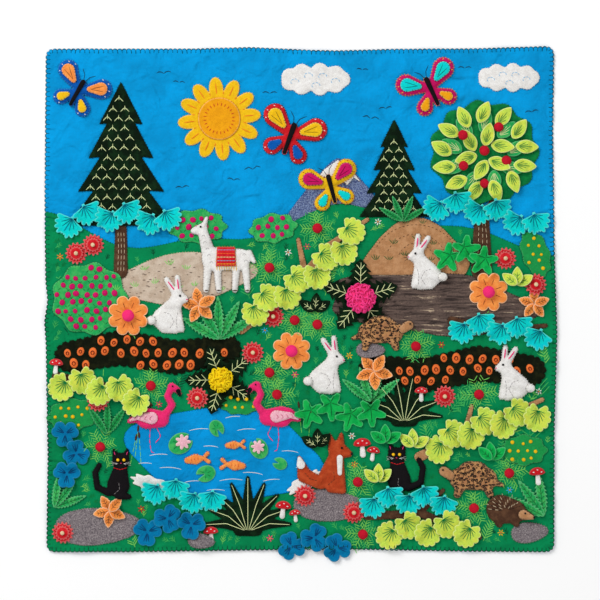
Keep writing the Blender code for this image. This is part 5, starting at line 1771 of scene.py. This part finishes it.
# Ribs of the spiky clumps
for x, y, count, length in ((-6.2, -27.4, 9, 6.4), (12.4, -14.4, 8, 5.6)):
    for blade in range(count):
        side = 2 * blade / (count - 1) - 1
        lean = math.radians(90 + 75.0 * side)
        reach = length * (1 - 0.18 * abs(side))
        middle = (0.5 * reach * math.cos(lean), 0.5 * reach * math.sin(lean) + 0.2)
        tip = (0.98 * reach * math.cos(lean), 0.98 * reach * math.sin(lean) - 0.6 * abs(math.cos(lean)))
        sew("lime", placed([(-0.05 * side * count, 0.1), middle, tip], x, y), 0.45 * MM, 2.6 * MM)

# Mushrooms and small stones
CAP = np.array([(math.cos(t), 0.8 * math.sin(t)) for t in np.linspace(0, math.pi, 40)] + [(-0.6, -0.14), (0.6, -0.14)])
STALK = limbs((0, -0.2, 0.26, 0, -1.1, 0.34))
MUSHROOMS = (
    (7.4, -17.2, 4, 1.05), (8.7, -18.0, -8, 0.8), (28.2, -20.6, 6, 0.95), (-29.0, -7.6, -4, 0.85),
    (-10.6, -27.6, 4, 0.9), (-2.0, -24.6, -6, 0.95), (14.4, -10.9, 0, 0.8), (-0.6, -25.4, 8, 0.7),
)
cut_group("mushroom_stalks", [(STALK, x, y, turn, size, 1) for x, y, turn, size in MUSHROOMS], felt("white"), None, 0.8 * MM, step=1.6 * MM)
cut_group("mushroom_caps", [(CAP, x, y, turn, size, 1) for x, y, turn, size in MUSHROOMS], felt("red", 0.3), None, 1.8 * MM, step=1.5 * MM)
for x, y, turn, size in MUSHROOMS:
    for spot_x, spot_y in ((-0.45, 0.25), (0.05, 0.48), (0.5, 0.2)):
        sew("white", placed([(spot_x - 0.08, spot_y), (spot_x + 0.08, spot_y)], x, y, turn, size), 0.8 * MM)
cut_group(
    "small_stones",
    [(oval(2.2, 1.2, 3, 0.06), 27.2, -27.6, 6, 1, 1), (oval(1.6, 0.9, 3, 0.05), -11.8, -28.6, -5, 1, 1), (oval(1.9, 1.0, 3, 0.06), 8.3, -5.9, 0, 0.9, 1)],
    bpy.data.materials["stone_fleece"], "grey", 1.2 * MM,
)

# Red zigzag flowers with a bead, in two layers
ZIGZAG = petals(1.35, 15, 0.24, 1.6)
RED_FLOWERS = (
    (-26.6, 5.6, 0), (-24.6, 6.6, 20), (28.0, 1.9, 10), (-3.2, -1.9, 0), (-5.6, -6.2, 12), (0.6, -23.2, 0),
    (6.4, -25.2, 10), (-12.2, -11.6, 6), (17.2, -11.4, 0), (-24.0, -11.9, 4), (24.4, 5.0, 0), (-28.2, -27.6, 8),
)
for layer, size in (("red_flowers_lower", 1.0), ("red_flowers_upper", 0.68)):
    cut_group(layer, [(ZIGZAG, x, y, turn + 12 * size, size, 1) for x, y, turn in RED_FLOWERS], felt("red", 0.7), None, 0.6 * MM, LEAF_THICK, 2.6 * MM)
balls("flower_beads", [(x, y, 0.26) for x, y, _ in RED_FLOWERS], felt("cream", 0.0), 0.8, 10, 8)

# Padded figures: node, colour, slot, thread
FIGURES = (
    ("butterfly_red", "red", "red_felt", "black"),
    ("butterfly_magenta", "magenta", "magenta_felt", "yellow"),
    ("butterfly_blue", "blue", "blue_felt", "sky"),
    ("butterfly_yellow", "yellow", "yellow_felt", "orange"),
    ("llama", "white", "white_fleece", "grey"),
    ("rabbit_left", "white", "white_fleece", "white"),
    ("rabbit_right", "white", "white_fleece", "white"),
    ("rabbit_middle", "white", "white_fleece", "white"),
    ("rabbit_edge", "white", "white_fleece", "white"),
    ("tortoise_upper", "leopard", "leopard_print", "brown"),
    ("tortoise_lower", "leopard", "leopard_print", "brown"),
    ("cat_left", "black", "black_felt", "black"),
    ("cat_right", "black", "black_felt", "black"),
    ("fox", "rust", "rust_felt", "rust"),
    ("flamingo_left", "pink", "pink_felt", "pink"),
    ("flamingo_right", "pink", "pink_felt", "pink"),
    ("hedgehog", "brown", "brown_felt", "brown"),
)
leopard = printed("leopard_print", "leopard")
for node, colour, slot, thread in FIGURES:
    laid = Laid(node_outline(node, 0.8 * MM), FELT_THICK, puff=3.6 * MM, step=1.8 * MM, dents=0.8 * MM)
    material = leopard if colour == "leopard" else felt(colour, 0.25)
    piece = piece_of(node + "_sewn", [laid], material, node)
    whip(thread, laid.ring)

# Where each figure stands: x, y, turn, size, flip
STANDS = {
    "butterfly_red": (-1.2, 19.4, -20, 1.12, 1),
    "butterfly_magenta": (15.6, 25.0, 25, 1.05, 1),
    "butterfly_blue": (-26.4, 24.8, -30, 1.0, 1),
    "butterfly_yellow": (3.7, 13.4, 15, 1.0, 1),
    "llama": (-8.8, 4.9, 0, 0.95, 1),
    "rabbit_left": (-15.4, -1.2, 0, 0.90, 1),
    "rabbit_right": (14.8, 3.9, 0, 0.86, -1),
    "rabbit_middle": (3.2, -8.4, 0, 0.90, 1),
    "rabbit_edge": (25.2, -9.3, 0, 0.86, -1),
    "tortoise_upper": (9.6, -3.8, 0, 0.95, 1),
    "tortoise_lower": (20.6, -21.2, 0, 1.0, -1),
    "cat_left": (-21.6, -21.0, 0, 0.90, 1),
    "cat_right": (11.8, -20.4, 0, 0.92, -1),
    "fox": (3.8, -19.6, 0, 1.02, 1),
    "flamingo_left": (-17.4, -14.6, 0, 0.98, 1),
    "flamingo_right": (-3.0, -14.4, 0, 0.98, -1),
    "hedgehog": (24.6, -24.9, 0, 0.95, 1),
}
EYES = {"black": [], "yellow": [], "white": []}


def on(figure, points):
    """Points of a figure's own drawing, in cm, set where it stands, in metres."""
    return placed(points, *STANDS[figure])


def eye(figure, x, y, radius=0.14, colour="black"):
    """A bead on a figure."""
    place = on(figure, [(x, y)])[0] / CM
    EYES[colour].append((place[0], place[1], radius))


def inset(name, figures, outline, colour, slot, thread=None, puff=1.0 * MM, rim=0.4):
    """A smaller piece sewn onto each of some figures."""
    rows = [(outline, *STANDS[figure]) for figure in figures]
    return cut_group(name, rows, felt(colour, rim), thread, puff, 1.1 * MM, 1.5 * MM, 4 * MM)


RABBITS = ("rabbit_left", "rabbit_right", "rabbit_middle", "rabbit_edge")
inset("rabbit_tails", RABBITS, oval(0.62, 0.58) + [-2.5, -1.3], "white", "white_fleece", "grey", 2.2 * MM)
for figure in RABBITS:
    sew("pink", on(figure, [(0.55, 2.7), (-0.3, 3.8)]), 0.9 * MM)
    sew("pink", on(figure, [(1.1, 2.8), (0.95, 4.1)]), 0.9 * MM)
    eye(figure, 1.3, 1.95)
    sew("pink", on(figure, [(2.12, 1.5), (2.3, 1.42)]), 0.8 * MM)
    for tip in ((2.9, 1.9), (3.0, 1.4), (2.8, 0.9)):
        sew("black", on(figure, [(2.0, 1.4), tip]), 0.20 * MM)
    backstitch("grey", on(figure, [(-0.1, -2.4), (0.5, -1.5), (0.0, -0.5), (-0.9, -0.2)]), 4 * MM, 0.32 * MM)
    backstitch("grey", on(figure, [(1.0, -0.2), (0.8, -1.2), (0.9, -2.4)]), 4 * MM, 0.32 * MM)

BLANKET = np.array([(-1.1, 1.55), (1.15, 1.55), (1.3, -0.9), (-1.25, -0.9)])
inset("llama_blanket", ("llama",), BLANKET, "red", "red_felt", "yellow", 1.2 * MM)
for band, thread in ((-0.6, "yellow"), (-0.2, "sky"), (0.25, "lime"), (0.7, "orange"), (1.15, "sky")):
    backstitch(thread, on("llama", [(-1.1, band), (1.15, band)]), 3.4 * MM, 0.45 * MM)
for tassel in np.arange(-1.1, 1.3, 0.3):
    sew("yellow", on("llama", [(tassel, -0.9), (tassel, -1.45)]), 0.5 * MM)
eye("llama", -3.15, 4.05, 0.13)
for curl_x, curl_y in ((-2.3, 1.2), (-2.6, 2.0), (-2.8, 2.8), (-2.1, 0.4), (2.3, 0.5), (2.5, -0.3), (-1.8, -0.5)):
    turn = np.radians(np.linspace(0, 200, 7))
    curl = np.stack([curl_x + 0.2 * np.cos(turn), curl_y + 0.2 * np.sin(turn)], 1)
    sew("grey", on("llama", curl), 0.26 * MM, 1.4 * MM)
for hoof in ((-2.5, -3.9), (-0.9, -3.9), (1.1, -3.9), (2.7, -3.9)):
    sew("brown", on("llama", [(hoof[0] - 0.26, hoof[1]), (hoof[0] + 0.26, hoof[1])]), 0.8 * MM)
sew("black", on("llama", [(-4.3, 3.35), (-3.9, 3.2)]), 0.3 * MM)

inset("fox_chest", ("fox",), limbs((0.9, 0.9, 0.35, 0.9, -0.9, 0.26)), "white", "white_fleece", None, 0.8 * MM)
inset("fox_tail_tip", ("fox",), limbs((-3.62, 0.1, 0.5, -3.8, 0.85, 0.2)), "white", "white_fleece", None, 1.2 * MM)
eye("fox", 1.15, 2.05)
eye("fox", 2.32, 1.34, 0.16)
for line in ([(-0.5, -2.3), (0.3, -1.6), (0.2, -0.7)], [(-1.7, -1.8), (-2.6, -1.5), (-3.2, -0.8)], [(-0.1, 2.7), (-0.2, 3.2)], [(1.0, 2.9), (1.05, 3.3)]):
    backstitch("brown", on("fox", line), 4 * MM, 0.34 * MM)

for figure in ("cat_left", "cat_right"):
    eye(figure, -0.02, 2.3, 0.19, "yellow")
    eye(figure, 0.78, 2.3, 0.19, "yellow")
    sew("pink", on(figure, [(0.28, 1.86), (0.46, 1.86)]), 0.55 * MM)
    for side in (-1, 1):
        for rise in (-0.25, 0.0, 0.25):
            sew("white", on(figure, [(0.36 + side * 0.3, 1.78), (0.36 + side * 1.3, 1.78 + rise)]), 0.20 * MM)
        sew("pink", on(figure, [(0.35 + side * 0.75, 2.95), (0.35 + side * 0.88, 3.35)]), 0.5 * MM)
    backstitch("red", on(figure, [(-0.62, 1.25), (0.3, 1.0), (1.1, 1.25)]), 3 * MM, 0.62 * MM)
    backstitch("grey", on(figure, [(-0.6, -2.3), (0.2, -1.6), (0.1, -0.7)]), 4 * MM, 0.30 * MM)

TORTOISES = ("tortoise_upper", "tortoise_lower")
inset("tortoise_heads", TORTOISES, limbs((2.75, 0.4, 0.5, 3.5, 0.9, 0.56)), "tan", "tan_fleece", "brown", 1.2 * MM)
for figure in TORTOISES:
    eye(figure, 3.65, 1.08, 0.12)
    shell_turn = np.radians(np.linspace(-10, 190, 22))
    backstitch("black", on(figure, np.stack([2.35 * np.cos(shell_turn), 1.75 * np.sin(shell_turn) - 0.2], 1)), 4 * MM, 0.40 * MM)
    backstitch("black", on(figure, [(-2.5, -0.6), (0, -0.9), (2.5, -0.6)]), 4 * MM, 0.40 * MM)
    for at in (-1.2, 0.0, 1.2):
        sew("black", on(figure, [(at * 0.7, 1.5), (at, 0.4), (at * 1.2, -0.7)]), 0.34 * MM)
    backstitch("black", on(figure, [(-1.9, 0.5), (0, 0.75), (1.9, 0.5)]), 4 * MM, 0.34 * MM)

inset("hedgehog_face", ("hedgehog",), limbs((2.0, -0.55, 0.62, 3.1, -0.88, 0.26)), "tan", "tan_fleece", "brown", 1.0 * MM)
eye("hedgehog", 2.2, -0.35, 0.12)
eye("hedgehog", 3.32, -0.88, 0.16)
for row in range(5):
    for spine in range(11 - row):
        way = math.radians(172 - spine * (150 / (10 - row)))
        reach = 1.75 - 0.34 * row
        foot = (-0.2 + reach * 1.2 * math.cos(way), -0.1 + reach * math.sin(way))
        tip = (foot[0] + 0.42 * math.cos(way) - 0.1, foot[1] + 0.42 * math.sin(way))
        sew("cream" if (row + spine) % 2 else "black", on("hedgehog", [foot, tip]), 0.34 * MM)

FLAMINGOS = ("flamingo_left", "flamingo_right")
inset("flamingo_wings", FLAMINGOS, limbs((-0.2, 0.65, 0.75, -1.9, 0.8, 0.35), (-1.9, 0.8, 0.35, -2.8, 0.35, 0.14)), "pale_pink", "pink_felt", "pink", 1.2 * MM)
inset("flamingo_beaks", FLAMINGOS, limbs((3.0, 3.9, 0.28, 3.2, 3.38, 0.16)), "black", "black_felt", None, 0.5 * MM)
for figure in FLAMINGOS:
    eye(figure, 2.32, 4.5, 0.11)
    for leg in ([(-0.4, -0.5), (-0.5, -2.0), (-0.3, -3.5), (0.1, -3.6)], [(0.3, -0.4), (0.9, -1.6), (0.2, -2.4)]):
        backstitch("pink", on(figure, leg), 7 * MM, 0.62 * MM, 0.02)
    for feather in (0.0, 0.6, 1.2, 1.8):
        sew("magenta", on(figure, [(-0.1 - feather, 0.95), (-0.5 - feather, 0.6), (-0.2 - feather, 0.35)]), 0.30 * MM)

UPPER_WINGS = (limbs((1.1, 0.95, 0.34, 2.25, 1.65, 0.78)), limbs((-1.1, 0.95, 0.34, -2.25, 1.65, 0.78)))
LOWER_WINGS = (limbs((0.9, -0.85, 0.28, 1.45, -1.45, 0.52)), limbs((-0.9, -0.85, 0.28, -1.45, -1.45, 0.52)))
for figure, upper, lower, dot in (
    ("butterfly_red", "yellow", "blue", "white"),
    ("butterfly_magenta", "turquoise", "amber", "yellow"),
    ("butterfly_blue", "orange", "yellow", "white"),
    ("butterfly_yellow", "magenta", "turquoise", "red"),
):
    for side, name in ((0, "right"), (1, "left")):
        inset(f"{figure}_upper_{name}", (figure,), UPPER_WINGS[side], upper, upper.replace("amber", "yellow") + "_felt", "black", 0.8 * MM)
        inset(f"{figure}_lower_{name}", (figure,), LOWER_WINGS[side], lower, lower.replace("amber", "yellow") + "_felt", "black", 0.8 * MM)
        way = 1 - 2 * side
        for spot in ((3.1, 1.1), (3.2, 1.9), (2.7, 2.6), (1.9, 2.7), (2.1, -1.9), (1.3, -2.2)):
            sew(dot, on(figure, [(way * spot[0] - 0.07, spot[1]), (way * spot[0] + 0.07, spot[1])]), 0.66 * MM)
        sew("black", on(figure, [(way * 0.08, 1.4), (way * 0.35, 2.2), (way * 0.95, 2.75)]), 0.36 * MM)
        for vein in ((2.4, 2.1), (2.7, 1.5)):
            sew("black", on(figure, [(way * 1.2, 1.0), (way * vein[0], vein[1])]), 0.26 * MM)
    inset(figure + "_body", (figure,), limbs((0, 1.3, 0.30, 0, -1.7, 0.20)), "black", "black_felt", None, 1.4 * MM)

for colour, places in EYES.items():
    if places:
        slot = {"black": "black_felt", "yellow": "yellow_felt", "white": "white_fleece"}[colour]
        bead = glass_bead(colour + "_bead", COLOUR[colour])
        balls("beads_" + colour, places, bead, 0.8, 10, 8)

# Garlands, daisies and pompoms
for row in GARLANDS:
    garland(row)
for node, thread in (("flower_left", "red"), ("flower_right", "red"), ("flower_middle", "red")):
    low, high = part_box(node)
    middle = np.array([low.x + high.x, low.y + high.y]) / 2 / CM
    outline = petals((high.x - low.x) / 2 / CM, 8, 0.30, 0.5)
    laid = Laid(softened(placed(outline, *middle, 22), 0.4 * MM), LEAF_THICK, 1.2 * MM, step=1.8 * MM)
    piece = piece_of(node + "_sewn", [laid], felt("orange", 0.9), node)
    for petal in range(8):
        way = math.radians(22 + 45 * petal)
        ray = [(r * math.cos(way), r * math.sin(way)) for r in (0.85, 1.7)]
        sew("ember", placed(ray, middle[0], middle[1]), 0.30 * MM)
    balls(node + "_middle", [(middle[0], middle[1], 0.72)], wool("middle_" + node, COLOUR["pink"]), 0.7, 24, 14)
pompom("pompom_yellow", wool("yellow_wool", (255, 204, 20)), 3)
pompom("pompom_pink", wool("pink_wool", (255, 60, 132)), 5)

SPRIG = toothed_leaf(2.5, 1.45, 1, 0.0)
SPRIG_VEINS = [[(0, 0.3), (0, 1.8)]] + [[(0, up), (side * 0.36, up + 0.4)] for up in (0.6, 1.1) for side in (-1, 1)]
SPRIGS = (
    ("sprigs_dark", "dark_green", "lime", "dark_green_felt"),
    ("sprigs_lime", "lime", "leaf_vein", "lime_felt"),
    ("sprigs_emerald", "emerald", "green", "emerald_felt"),
)
sprig_leaves, spray_berries, number = [[], [], []], [], 0
gaps = lattice(land.ring, 6 * MM, 15 * MM) / CM
for clear in (1.3, 1.1, 0.95):
    for x, y in gaps:
        if len(spray_berries) < 14 and bare(x, y, clear):
            berry_spray(x, y)
            spray_berries.append((x, y, 0.6))
for x, y in gaps:
    if not bare(x, y, 0.86):
        continue
    kind = (number := number + 1) % 3
    for turn in (-52, 0, 52):
        lean = turn + CHANCE.uniform(-8, 8)
        leaf = loose_leaf(SPRIG, SPRIG_VEINS, x, y - 1.0, lean, 0.88, SPRIGS[kind][2], 0.8 * MM, radius=0.36 * MM)
        sprig_leaves[kind].append(leaf)
for (name, colour, thread, slot), laid in zip(SPRIGS, sprig_leaves):
    piece = piece_of(name, laid, felt(colour, 0.8))
    declare_sheet(laid)

balls("spray_berries", spray_berries, felt("berry", 0.0), sides=16, rings=10)

# Sewn twigs and small flowers on what is left of the land
GREENS = ("bright_green", "lime_dark", "deep_green", "bright_green", "leaf_vein")
FLOWER_THREADS = ("white", "pink", "yellow", "red", "sky", "orange", "white", "magenta")
number = 0
for x, y in sprinkled(land.ring, 8.4 * MM, 6.5 * MM, 0.22) / CM:
    if not bare(x, y, 0.42):
        continue
    number += 1
    if number % 7 == 0:
        thread = FLOWER_THREADS[(number // 7) % len(FLOWER_THREADS)]
        small_flower(thread, "orange" if thread in ("white", "yellow", "sky") else "yellow", x, y, 0.42)
    else:
        turn = 38 * math.sin(0.33 * x + 0.9) + 30 * math.cos(0.41 * y) + CHANCE.uniform(-16, 16)
        twig(GREENS[int(CHANCE.randint(len(GREENS)))], x, y, turn, CHANCE.uniform(0.8, 1.15))

blanket_stitch(ground_edge, GROUND_THICK, lambda point: "edge_teal" if point[1] > 0.088 else "edge_green")

THREADS = {
    "edge_teal": ((0, 84, 104), "ground_cotton"),
    "teal": ((0, 96, 120), "teal_felt"),
    "navy": ((10, 50, 100), "blue_felt"),
    "edge_green": ((4, 70, 48), "ground_cotton"),
    "pond_blue": ((0, 96, 170), "blue_felt"),
    "leaf_vein": ((10, 128, 66), "land_cotton"),
    "bright_green": ((70, 188, 98), "land_cotton"),
    "ember": ((112, 18, 12), "rust_felt"),
    "lime": ((232, 250, 176), "lime_felt"),
    "lime_dark": ((128, 214, 96), "lime_felt"),
    "deep_green": ((4, 78, 50), "dark_green_felt"),
    "orange": ((250, 120, 40), "orange_felt"),
    "amber": ((250, 176, 40), "yellow_felt"),
    "sky": ((60, 170, 225), "blue_felt"),
    "magenta": ((200, 24, 100), "magenta_felt"),
    "green": ((14, 96, 50), "land_cotton"),
    "blue": ((10, 80, 150), "blue_felt"),
    "brown": ((70, 45, 30), "brown_felt"),
    "black": ((22, 18, 20), "black_felt"),
    "cream": ((225, 205, 170), "white_fleece"),
    "grey": ((150, 144, 144), "grey_fleece"),
    "yellow": ((250, 190, 30), "yellow_felt"),
    "white": ((244, 240, 234), "white_fleece"),
    "dark_green": ((14, 46, 24), "dark_green_felt"),
    "red": ((196, 24, 34), "red_felt"),
    "pink": ((244, 60, 126), "pink_felt"),
    "rust": ((130, 42, 20), "rust_felt"),
}
pull_threads(THREADS)
